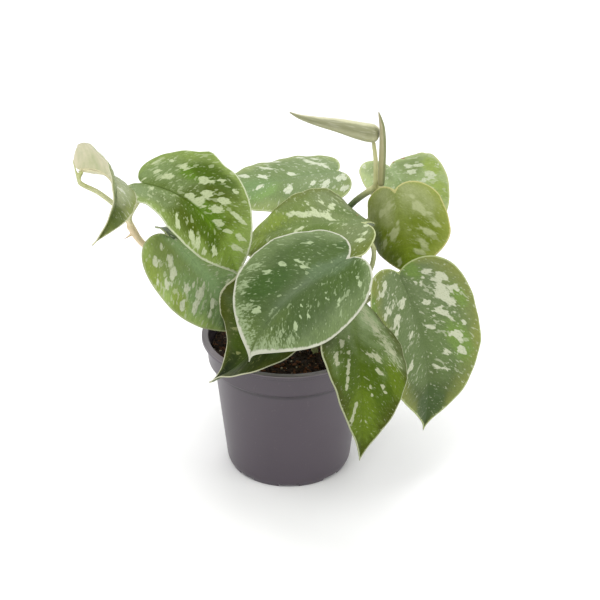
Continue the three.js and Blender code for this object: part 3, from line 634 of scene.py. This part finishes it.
def flat_blade(name, leaf, rim_widths):
    """The flat leaf's values, in rows from the petiole to the tip and columns across the leaf."""
    stations = midrib_stations(leaf)
    shares = (1 - np.cos(math.pi * np.arange(HALF_COLUMNS + 1) / HALF_COLUMNS)) / 2
    u = np.linspace(0, 1, ROWS + 1)
    rib = leaf["length"] * u ** RIB_POWER
    columns = []
    for side in (-1, 1):
        half, width = half_of(leaf, side)
        across, along = half_outline(u, width, leaf["length"], leaf["lobe"][half],
                                     leaf["widest"], leaf["tip"])
        for bump_side, centre, spread, out in MARGIN_BUMPS.get(name, []):
            if bump_side == side:
                across = across + out * np.exp(-((u - centre) / spread) ** 2)
        near, far = rim_widths[half]
        rim_width = near + (far - near) * np.clip(2 * u - 1, 0, 1)
        for share in (shares[:0:-1] if side < 0 else shares):
            a, s = share * across, rib + share * (along - rib)
            gap = np.hypot(a[:, None] - across[None], s[:, None] - along[None]).min(1)
            columns.append(dict(
                u=u, side=np.full_like(u, side), share=np.full_like(u, share), across=a, along=s,
                vein=vein_at(a, s), rim=gap / rim_width,
                points=blade_points(leaf, stations, side, a, s)))
    return {key: np.stack([column[key] for column in columns], 1) for key in columns[0]}


def spots(leaf, flat, places, narrow=1.0):
    """Soft spots drawn out along the side veins, 1 at their centres."""
    widest_half = max(leaf["right"], leaf["left"])
    field = np.zeros_like(flat["across"])
    for x, y, size in places:
        offset = flat["across"] * flat["side"] - x / 100 * widest_half
        step = flat["vein"] - vein_at(abs(x) / 100 * widest_half, y / 100 * leaf["length"])
        gap = (offset / (0.7 * size)) ** 2 + (step / (narrow * size)) ** 2
        field = np.maximum(field, np.exp(-gap))
    return field


def blade_relief(leaf, flat, seed):
    """Heights of the blade's middle, of the groove over the midrib and of the keel below it."""
    rng = random.Random(seed)
    phases = [rng.uniform(0, 2 * math.pi) for _ in range(1 + 2 * len(WAVES))]
    side, share, across, along = (flat[key] for key in ("side", "share", "across", "along"))
    swell = np.sin(2 * math.pi * flat["vein"] / SIDE_VEIN + phases[0])
    height = SWELL * swell * np.sin(math.pi * share)
    for (high, long), first, second in zip(WAVES, phases[1::2], phases[2::2]):
        wave = np.sin(2 * math.pi * along / long + first + side * second)
        height = height + high * wave * share ** 3 * np.sin(math.pi * flat["u"]) ** 0.5

    def along_midrib(high, reach, end):
        return high * np.exp(-(across / reach) ** 2) * np.clip(end - along / leaf["length"], 0, 1)

    return height, along_midrib(*GROOVE), along_midrib(*KEEL)


def welded(flat):
    """The grid of vertices, whose first and last row are one vertex each, and their values."""
    rows, count = flat["share"].shape
    index = np.arange(rows * count).reshape(rows, count)
    index[0], index[-1] = index[0, count // 2], index[-1, count // 2]
    used, index = np.unique(index, return_inverse=True)
    values = {key: array.reshape(rows * count, *array.shape[2:])[used]
              for key, array in flat.items()}
    return index.reshape(rows, count), values


def sheet_normals(places, quads):
    """Normals of a sheet at its vertices."""
    a, b, c, d = (places[quads[:, corner]] for corner in range(4))
    face = np.cross(c - a, d - b)
    normals = np.zeros_like(places)
    for corner in range(4):
        np.add.at(normals, quads[:, corner], face)
    return normals / np.maximum(np.linalg.norm(normals, axis=1, keepdims=True), 1e-12)


def thickened(index, flat):
    """Places, faces, their materials, and the flat leaf's vertex that each place belongs to."""
    quads, middle, centre = grid_quads(index), flat["points"], index.shape[1] // 2
    middle = middle + sheet_normals(middle, quads) * flat["height"][:, None]
    normals = sheet_normals(middle, quads)
    half = BLADE_THICKNESS / 2 * (1 - EDGE_THINNING * flat["share"] ** 6)
    above, shadowed = half - flat["groove"], half + flat["keel"]
    margin = np.concatenate([index[:, -1], index[-2:0:-1, 0]])
    inner = np.concatenate([index[:, -2], index[-2:0:-1, 1]])
    inner[0], inner[len(index) - 1] = index[2, centre], index[-3, centre]
    outward = middle[margin] - middle[inner]
    outward /= np.linalg.norm(outward, axis=1, keepdims=True)
    total = len(middle)
    places = np.concatenate([middle + normals * above[:, None], middle - normals * shadowed[:, None],
                             middle[margin] + outward * RIM_BULGE])
    source = np.concatenate([np.arange(total), np.arange(total), margin])
    faces = two_sheets(quads, total)
    material = [0, 1] * (len(faces) // 2) + [0] * (2 * len(margin))
    rim_ring = 2 * total + np.arange(len(margin))
    faces += ring_faces(margin, rim_ring) + ring_faces(rim_ring, margin + total)
    return places, faces, material, source


def blade(name, leaf, look, seed):
    """One leaf blade, closed, with the flat leaf's coordinates as attributes for its materials."""
    flat = flat_blade(name, leaf, look["rim_width"])
    flat["height"], flat["groove"], flat["keel"] = blade_relief(leaf, flat, seed)
    flat["marks"] = np.maximum.reduce([spots(leaf, flat, look[kind], narrow)
                                       for kind, narrow in NARROWNESS.items()])
    for key in ("frost", "glows", "shades", "scars"):
        flat[key] = spots(leaf, flat, look[key])
    index, flat = welded(flat)
    places, faces, material, source = thickened(index, flat)
    mesh = mesh_from(name + "_blade", places + np.array(leaf["at"]), faces)
    mesh.materials.append(leaf_upper(name + "_upper", look, seed))
    mesh.materials.append(leaf_under(name + "_under", look, seed))
    mesh.polygons.foreach_set("material_index", material)
    # The materials read distances in units of 0.1 m.
    values = dict(across=flat["across"] * flat["side"] / 100, reach=flat["across"] / 100,
                  along=flat["along"] / 100, vein=flat["vein"] / 100,
                  progress=flat["along"] / leaf["length"])
    for key in ("share", "rim", "marks", "frost", "glows", "shades", "scars"):
        values[key] = flat[key]
    write_attributes(mesh, {key: array[source] for key, array in values.items()})
    return add_object(name + "_blade", mesh)


# ---------------- leaves that are still rolled

ROLL_STEPS, ROLL_SIDES = 12, 72
ROLL_TIGHTENING = 0.16
# The roll starts at an angle and twists by another up to its tip, both in radians; its wall is in
# mm. The skin runs from low to high, with edge along its free margin and a band of painted shadow
# under it over the span, a share of the turns.
YOUNG = {
    "rolled": dict(
        stops=ROLLED, turns=1.45, start=2.9, twist=0.3, wall=0.5, span=(0.06, 0.19),
        low=(177, 176, 138), high=(180, 178, 146), edge=(206, 204, 190), shadow_band=(112, 114, 78)),
    "spear": dict(
        stops=SPEAR, turns=1.3, start=2.6, twist=0.3, wall=0.45, span=(0.05, 0.21),
        low=(158, 154, 108), high=(168, 160, 130), edge=(190, 184, 152), shadow_band=(100, 110, 56)),
}


def catmull(stops, steps):
    """Smooth points through the stops, steps to each stretch."""
    stops = np.array(stops, float)
    padded = np.vstack([2 * stops[0] - stops[1], stops, 2 * stops[-1] - stops[-2]])
    points = []
    for i in range(1, len(padded) - 2):
        a, b, c, d = padded[i - 1:i + 3]
        for t in np.arange(steps) / steps:
            points.append(cubic(b, b + (c - a) / 6, c - (d - b) / 6, c, t))
    points.append(stops[-1])
    return np.array(points)


def rolled_leaf(name, young, material):
    """A leaf rolled round itself: its outer margin lies free on the turn below it."""
    path = catmull(young["stops"], ROLL_STEPS)
    centres, radii = path[:, :3], np.maximum(path[:, 3], 0.25)
    tangents = np.gradient(centres, axis=0)
    tangents /= np.linalg.norm(tangents, axis=1, keepdims=True)
    side = np.cross(tangents, (0.0, 1.0, 0.0))
    side /= np.linalg.norm(side, axis=1, keepdims=True)
    other = np.cross(side, tangents)
    theta = np.linspace(0, young["turns"] * 2 * math.pi, ROLL_SIDES)
    progress = np.linspace(0, 1, len(centres))
    angle = young["start"] + theta[None] + young["twist"] * progress[:, None]
    spokes = (np.cos(angle)[..., None] * side[:, None] + np.sin(angle)[..., None] * other[:, None])
    shells = []
    for inward in (0.0, young["wall"]):
        shrink = 1 - ROLL_TIGHTENING * theta / (2 * math.pi)
        radius = np.maximum(radii[:, None] * shrink[None] - inward, 0.06)
        shells.append((centres[:, None] + radius[..., None] * spokes).reshape(-1, 3))
    long, count = len(centres), len(centres) * ROLL_SIDES
    index = np.arange(count).reshape(long, ROLL_SIDES)
    border = np.concatenate([index[0], index[1:, -1], index[-1, -2::-1], index[-2:0:-1, 0]])
    faces = two_sheets(grid_quads(index), count) + ring_faces(border, border + count)
    mesh = mesh_from(name, np.concatenate(shells), faces)
    mesh.materials.append(material)
    write_attributes(mesh, dict(
        lead=np.tile(theta / theta[-1], 2 * long),
        run=np.tile(np.repeat(progress, ROLL_SIDES), 2)))
    return add_object(name, mesh)


def rolled_material(name, young):
    """Pale olive tissue of a leaf that has not opened, streaked along its length, with a painted
    shadow band.
    """
    m = Material(name)
    low, high, edge, shadow_band = (srgb(*young[key]) for key in ("low", "high", "edge", "shadow_band"))
    start, end = young["span"]
    lead, run = m.attribute("lead"), m.attribute("run")
    streaks = m.noise(m.combine(m.times(lead, 9.0), m.times(run, 1.5), 2.0), 6, 3)
    blotch = m.noise(m.combine(m.times(lead, 3.0), m.times(run, 4.0), 5.0), 3, 2)
    colour = m.mix(m.step(m.plus(run, m.line(blotch, 0.8, -0.4)), 0.1, 0.9), low, high)
    wavy = m.line(blotch, 0.04, m.plus(lead, -0.02))
    # Painted shadow: a darker band just under the free margin.
    shadowed = m.times(m.step(wavy, start - 0.02, start + 0.02), m.step(wavy, end + 0.04, end - 0.04))
    colour = m.lay(colour, shadow_band, shadowed, 0.85)
    colour = m.lay(colour, edge, m.step(streaks, 0.5, 0.7), 0.2)
    colour = m.mix(m.step(lead, 0.03, 0.0), colour, edge)
    m.set(base_color=colour, roughness=m.line(blotch, 0.15, 0.36),
          normal=m.bump(streaks, 0.0004, 0.5),
          specular_ior_level=0.45, sheen_weight=0.1, sheen_roughness=0.4)
    return m.material


# ---------------- stems

PALE_GREEN, MID_GREEN = (198, 200, 156), (170, 176, 120)
# CAD node: (piece, pale, green, flushes); flushes are ((x, y, z), reach, colour) in mm.
STEMS = {
    "vine_left": ("vine_left_stem", PALE_GREEN, MID_GREEN,
                  [((-108, 6, 168), 22, (222, 202, 166)), ((-112, 3, 171), 4.5, (164, 112, 84))]),
    "vine_right": ("vine_right_stem", (216, 214, 164), (192, 194, 138),
                   [((40, 42, 160), 40, (70, 88, 48)), ((62, 42, 191), 6, (122, 122, 62))]),
    "vine_front": ("vine_front_stem", PALE_GREEN, MID_GREEN, []),
    "vine_side": ("vine_side_stem", PALE_GREEN, MID_GREEN, []),
    "petiole_shaded": ("shaded_petiole", PALE_GREEN, MID_GREEN, []),
}
# The smoothing takes some of the skin away, and the swelling in mm gives it back.
STEM_VOXEL = 0.55
STEM_SMOOTHING = 26
STEM_SWELLING = 0.14


def stem_material(name, pale, green, flushes):
    """Smooth stem skin, faintly streaked, with flushes of other colours."""
    m = Material(name)
    place = m.place()
    cloud = m.noise(place, 55, 3.0)
    streak = m.noise(m.stretched(place, 0.12), 900)
    colour = m.mix(m.step(cloud, 0.3, 0.7), srgb(*pale), srgb(*green))
    dark = tinted(srgb(*green), 0.55, 0.55, 0.55)
    colour = m.lay(colour, dark, m.step(streak, 0.5, 0.75), 0.16)
    for centre, reach, flush in flushes:
        gap = m.add("ShaderNodeVectorMath", {0: place, 1: tuple(c * MM for c in centre)},
                    operation="DISTANCE").outputs["Value"]
        gap = m.plus(gap, m.line(cloud, 0.006, -0.003))
        colour = m.mix(m.step(gap, reach * MM, 0.4 * reach * MM), colour, srgb(*flush))
    m.set(base_color=colour, roughness=m.line(cloud, 0.15, 0.38), specular_ior_level=0.4,
          normal=m.bump(m.line(streak, 0.4, cloud), 0.0004, 0.6))
    return m.material


def evaluated(piece):
    """Gives the piece the mesh that its modifiers make, and takes them off."""
    graph = bpy.context.evaluated_depsgraph_get()
    mesh = bpy.data.meshes.new_from_object(piece.evaluated_get(graph))
    piece.modifiers.clear()
    piece.data = mesh
    return mesh


def stem(node, name, material):
    """The CAD stem with its facets smoothed into round, grown-together skin."""
    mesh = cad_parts[node].data.copy()
    mesh.materials.clear()
    piece = add_object(name, mesh)
    remesh = piece.modifiers.new("remesh", "REMESH")
    remesh.mode = "VOXEL"
    remesh.voxel_size = STEM_VOXEL * MM
    smooth = piece.modifiers.new("smooth", "SMOOTH")
    smooth.factor = 0.5
    smooth.iterations = STEM_SMOOTHING
    skin = evaluated(piece)
    count = len(skin.vertices)
    places, normals = np.empty(3 * count), np.empty(3 * count)
    skin.vertices.foreach_get("co", places)
    skin.vertex_normals.foreach_get("vector", normals)
    skin.vertices.foreach_set("co", places + STEM_SWELLING * MM * normals)
    smooth_faces(skin)
    skin.materials.clear()
    skin.materials.append(material)
    settle(piece, "stem", node)


# ---------------- pot

POT_SIDES = 256
POT_PROFILE = [
    # Outside, from the base up: (radius, height, rounding), in millimetres.
    (0, 0, 0), (39.4, 0, 0), (41.3, 0, 1.2), (43.4, 4.5, 2.2), (51.7, 79.7, 1.6), (55.7, 82.0, 1.0),
    (56.7, 97.5, 0.7), (60, 97.5, 0.5), (60, 100.3, 0.9), (55.5, 100.3, 0.9), (54.9, 97.5, 2.0),
    # Inside, from the rim down to the floor.
    (53.9, 83.7, 2.0), (49.9, 80.5, 2.0), (41.6, 6.0, 2.0), (40.1, 4.6, 1.0), (0, 4.6, 0),
]
CORNER_STEPS = 5
# Each foot gap is cut from the rim's radius to an inner one, with a drain hole on the same line.
FEET = 8
GAP_WIDTH, GAP_HEIGHT, GAP_INNER, GAP_OUTER = 14, 2.2, 33, 60
DRAIN_RADIUS, DRAIN_RING, DRAIN_DEPTH = 3.2, 26, 20
# Painted shade under the collar and under the lip: heights in millimetres where each band starts,
# is full, is full to, and ends, and its strength. The lip's edge has a painted highlight.
POT_PAINTED_SHADE_BANDS = [(76.6, 79.2, 82.0, 83.8, 0.66), (94.6, 96.8, 97.6, 98.2, 0.4)]
POT_PAINTED_LIP_HIGHLIGHT = (99.6, 100.2)


def rounded(profile):
    """The profile with each corner replaced by an arc-like curve of its rounding."""
    points = []
    for i, (r, z, rounding) in enumerate(profile):
        here = np.array([r, z], float)
        if rounding == 0 or i in (0, len(profile) - 1):
            points.append(here)
            continue
        before = np.array(profile[i - 1][:2], float) - here
        after = np.array(profile[i + 1][:2], float) - here
        cut = min(rounding, 0.45 * np.linalg.norm(before), 0.45 * np.linalg.norm(after))
        a = here + before / np.linalg.norm(before) * cut
        b = here + after / np.linalg.norm(after) * cut
        for t in np.linspace(0, 1, CORNER_STEPS + 1):
            points.append((1 - t) ** 2 * a + 2 * t * (1 - t) * here + t ** 2 * b)
    return points


def ring_of(form, radius, sides, height):
    """Vertices round the axis, at height(x, y); in millimetres."""
    ring = []
    for k in range(sides):
        x, y = (radius * wave(2 * math.pi * k / sides) for wave in (math.cos, math.sin))
        ring.append(form.verts.new((x * MM, y * MM, height(x, y) * MM)))
    return ring


def bridge(form, rings):
    """Faces between rings of as many vertices, or of one."""
    for low, high in zip(rings, rings[1:]):
        for k in range(max(len(low), len(high))):
            corners = [low[k % len(low)], low[(k + 1) % len(low)],
                       high[(k + 1) % len(high)], high[k % len(high)]]
            form.faces.new(list(dict.fromkeys(corners)))


def lathe(name, points, sides):
    """A closed turned body; its profile starts and ends on the axis."""
    form = bmesh.new()
    bridge(form, [ring_of(form, r, 1 if r < 1e-6 else sides, lambda x, y: z) for r, z in points])
    bmesh.ops.recalc_face_normals(form, faces=form.faces)
    return mesh_of(name, form)


def pot_material():
    """Matt moulded plastic in a warm grey, faintly mottled, with fine turning marks, dust, painted
    shade and highlight.
    """
    m = Material("pot_plastic")
    place = m.place()
    cloud = m.noise(place, 22, 4.0, 0.55)
    colour = m.mix(cloud, srgb(66, 57, 66), srgb(74, 65, 74))
    height = m.add("ShaderNodeSeparateXYZ", {"Vector": place}).outputs["Z"]
    height = m.line(cloud, 0.0008, height)
    # Painted shade: darker bands under the collar and under the lip.
    for start, full, full_to, end, strength in POT_PAINTED_SHADE_BANDS:
        shadow_band = m.times(m.step(height, start * MM, full * MM),
                       m.step(height, end * MM, full_to * MM))
        colour = m.lay(colour, srgb(30, 25, 30), shadow_band, strength)
    # A painted highlight along the top of the lip.
    lip_highlight = m.step(height, POT_PAINTED_LIP_HIGHLIGHT[0] * MM, POT_PAINTED_LIP_HIGHLIGHT[1] * MM)
    colour = m.lay(colour, srgb(150, 141, 147), lip_highlight, 0.5)
    dust = m.step(m.noise(place, 420, 2.0, 0.6), 0.66, 0.74)
    colour = m.lay(colour, srgb(128, 122, 122), dust, 0.1)
    normal = m.bump(m.noise(place, 1400), 0.00008, 0.5)
    normal = m.bump(m.noise(m.stretched(place, 60.0), 14), 0.00006, 0.35, normal)
    m.set(base_color=colour, roughness=m.line(cloud, 0.12, 0.32), normal=normal,
          specular_ior_level=0.55)
    return m.material


def foot_gap(form, turn):
    place = turn @ Matrix.Translation(((GAP_OUTER + GAP_INNER) / 2, 0, 0))
    size = Matrix.Diagonal((GAP_OUTER - GAP_INNER, GAP_WIDTH, 2 * GAP_HEIGHT, 1))
    bmesh.ops.create_cube(form, size=1, matrix=place @ size)


def drain_hole(form, turn):
    bmesh.ops.create_cone(form, cap_ends=True, segments=24, radius1=DRAIN_RADIUS,
                          radius2=DRAIN_RADIUS, depth=DRAIN_DEPTH,
                          matrix=turn @ Matrix.Translation((DRAIN_RING, 0, 0)))


def make_pot():
    """The turned pot, with its foot gaps and drain holes cut away."""
    pot = add_object("nursery_pot", lathe("nursery_pot", rounded(POT_PROFILE), POT_SIDES))
    cutters = []
    for i in range(FEET):
        turn = Matrix.Rotation(math.radians(-90 + 360 / FEET * i), 4, "Z")
        for make in (foot_gap, drain_hole):
            form = bmesh.new()
            make(form, Matrix.Scale(MM, 4) @ turn)
            cutters.append(add_object("cutter", mesh_of("cutter", form)))
    for cutter in cutters:
        modifier = pot.modifiers.new("cut", "BOOLEAN")
        modifier.operation = "DIFFERENCE"
        modifier.object = cutter
        modifier.solver = "EXACT"
    mesh = evaluated(pot)
    for cutter in cutters:
        bpy.data.objects.remove(cutter)
    mesh.materials.clear()
    mesh.materials.append(pot_material())
    smooth_faces(mesh)
    mesh.set_sharp_from_angle(angle=math.radians(50))
    settle(pot, "pot", "pot")


# ---------------- soil

SOIL_TOP, SOIL_DOME, SOIL_RADIUS = 89.2, 2.2, 53.4
SOIL_RINGS, SOIL_SIDES = 60, 220
# (height, breadth) of the lumps in mm, and the layer of the noise that they are taken from.
SOIL_LUMPS = [(1.5, 9, 1.7), (0.8, 3.6, 4.2)]
# (radius, height) of the mix against the pot's wall, from the floor up.
SOIL_WALL = [(39.6, 5.0), (41.0, 6.4), (49.2, 80.2), (53.0, 83.4)]
# Crumbs: the least size, what chance adds and the power of chance; the stretch of each axis; the
# tilt in radians; and how ragged they are.
CRUMBS = 2600
CRUMB_SIZE = (0.35, 1.25, 2.2)
CRUMB_STRETCH = ((0.7, 1.7), (0.6, 1.1), (0.5, 0.9))
CRUMB_TILT, CRUMB_RAGGED = 0.6, 0.22
# A crumb with a tint over RUSTY is rust-brown, and one over PALE is pale and smaller.
RUSTY, PALE = 0.55, 0.93
PALE_SIZE = 0.75


def soil_height(x, y):
    """Height of the potting mix in millimetres at a place in the pot."""
    r = min(math.hypot(x, y) / SOIL_RADIUS, 1)
    lumps = sum(high * noise.noise((x / broad, y / broad, layer))
                for high, broad, layer in SOIL_LUMPS)
    return SOIL_TOP + SOIL_DOME * math.cos(r * math.pi / 2) + lumps


def soil_material():
    """Dark moist potting mix with rust-brown and pale bits; tint is one value for each crumb."""
    m = Material("potting_mix")
    tint = m.attribute("tint")
    grain = m.noise(m.place(), 480, 4.0, 0.7)
    colour = m.mix(m.step(grain, 0.3, 0.7), srgb(26, 19, 15), srgb(58, 42, 32))
    rust = m.mix(grain, srgb(66, 38, 22), srgb(112, 70, 42))
    colour = m.mix(m.step(tint, RUSTY, RUSTY + 0.07), colour, rust)
    pale = m.mix(grain, srgb(140, 124, 100), srgb(196, 184, 164))
    colour = m.mix(m.step(tint, PALE, PALE + 0.02), colour, pale)
    m.set(base_color=colour, roughness=0.92, normal=m.bump(grain, 0.0009, 0.9),
          specular_ior_level=0.25)
    return m.material


def make_soil(material):
    """The potting mix, which fills the pot up to a lumpy, slightly domed top."""
    form = bmesh.new()
    rings = [ring_of(form, r, SOIL_SIDES, lambda x, y: z) for r, z in SOIL_WALL]
    for i in range(SOIL_RINGS, 0, -1):
        rings.append(ring_of(form, SOIL_RADIUS * i / SOIL_RINGS, SOIL_SIDES, soil_height))
    rings.append(ring_of(form, 0, 1, soil_height))
    form.faces.new(rings[0][::-1])
    bridge(form, rings)
    mesh = mesh_of("potting_soil", form)
    mesh.materials.append(material)
    smooth_faces(mesh)
    face_outward(mesh)
    settle(add_object("potting_soil", mesh), "soil", "soil")


def make_crumbs(material):
    """Loose crumbs and bits of bark and perlite that lie on the potting mix."""
    rng = random.Random(11)
    form = bmesh.new()
    tint = form.verts.layers.float.new("tint")
    least, more, power = CRUMB_SIZE
    for _ in range(CRUMBS):
        r = (SOIL_RADIUS - 1.5) * math.sqrt(rng.random())
        angle = rng.uniform(0, 2 * math.pi)
        x, y = r * math.cos(angle), r * math.sin(angle)
        size = least + more * rng.random() ** power
        crumb = bmesh.ops.create_icosphere(form, subdivisions=1, radius=1.0)["verts"]
        value = rng.random()
        if value > PALE:
            size *= PALE_SIZE
        stretch = Vector([rng.uniform(*span) for span in CRUMB_STRETCH])
        turn = Matrix.Rotation(rng.uniform(0, 6.28), 3, "Z")
        turn = turn @ Matrix.Rotation(rng.uniform(-CRUMB_TILT, CRUMB_TILT), 3, "X")
        centre = Vector((x, y, soil_height(x, y) + 0.25 * size))
        for vertex in crumb:
            knock = Vector([rng.uniform(-CRUMB_RAGGED, CRUMB_RAGGED) for _ in range(3)])
            vertex.co = (turn @ ((vertex.co + knock) * stretch * size) + centre) * MM
            vertex[tint] = value
    mesh = mesh_of("soil_crumbs", form)
    mesh.materials.append(material)
    settle(add_object("soil_crumbs", mesh), "soil")


# ---------------- the plant

for number, (node, leaf) in enumerate(LEAVES.items()):
    look = {**USUAL_LOOK, **LOOKS[node]}
    look.update({colour: srgb(*look[colour]) for colour in COLOURS})
    settle(blade(node, leaf, look, 1.7 * number + 0.5), "leaf", node)

for name, young in YOUNG.items():
    skin = rolled_material(name + "_skin", young)
    settle(rolled_leaf(name + "_blade", young, skin), "young_leaf", "leaf_" + name)

for node, (name, *look) in STEMS.items():
    stem(node, name, stem_material(name.removesuffix("_stem") + "_skin", *look))

make_pot()
potting_mix = soil_material()
make_soil(potting_mix)
make_crumbs(potting_mix)

# ---------------- floor, light and camera

FLOOR_SIZE = 6.0
CAMERA_AIM = Vector((7.9, 0.0, 125.8)) * MM
CAMERA_DISTANCE = 1.5
CAMERA_ELEVATION = math.radians(29)
SENSOR_WIDTH = 36
CAMERA_FOCAL_WIDTHS = 3.65
# name: (place, size in metres, power in watts)
LIGHTS = {
    "key": ((-0.5, -0.9, 1.7), 1.1, 14),
    "top": ((0.1, 0.1, 2.0), 1.2, 15),
    "fill": ((1.3, -0.8, 0.9), 1.2, 7),
    "back": ((0.2, 1.3, 1.4), 1.2, 6),
}
LIGHT_AIM = Vector((0, 0, 0.12))
WORLD_STRENGTH = 0.75


def make_floor():
    """A pale paper floor."""
    form = bmesh.new()
    bmesh.ops.create_grid(form, x_segments=8, y_segments=8, size=FLOOR_SIZE / 2)
    mesh = mesh_of("floor", form)
    m = Material("floor_paper")
    colour = m.mix(m.noise(m.place(), 3.0, 3.0), (0.93, 0.93, 0.93, 1), (0.96, 0.96, 0.955, 1))
    m.set(base_color=colour, roughness=0.95, specular_ior_level=0.1,
          normal=m.bump(m.noise(m.place(), 700), 0.00005, 0.2))
    mesh.materials.append(m.material)
    add_object("floor", mesh)


def turned(direction):
    """The rotation of a light or camera that looks in this direction."""
    return direction.to_track_quat("-Z", "Y").to_euler()


def make_lights():
    for name, (place, size, power) in LIGHTS.items():
        light = bpy.data.lights.new(name, "AREA")
        light.shape = "DISK"
        light.size = size
        light.energy = power
        lamp = add_object(name, light)
        lamp.location = place
        lamp.rotation_euler = turned(LIGHT_AIM - Vector(place))
    world = bpy.data.worlds.new("studio")
    world.use_nodes = True
    background = world.node_tree.nodes["Background"]
    background.inputs["Color"].default_value = (1, 1, 1, 1)
    background.inputs["Strength"].default_value = WORLD_STRENGTH
    bpy.context.scene.world = world
    bpy.context.scene.view_settings.view_transform = "Standard"


def make_camera():
    data = bpy.data.cameras.new("camera")
    data.sensor_width = SENSOR_WIDTH
    data.lens = SENSOR_WIDTH * CAMERA_FOCAL_WIDTHS
    camera = add_object("camera", data)
    direction = Vector((0, -math.cos(CAMERA_ELEVATION), math.sin(CAMERA_ELEVATION)))
    camera.location = CAMERA_AIM + CAMERA_DISTANCE * direction
    camera.rotation_euler = turned(-direction)
    bpy.context.scene.camera = camera


make_floor()
make_lights()
make_camera()
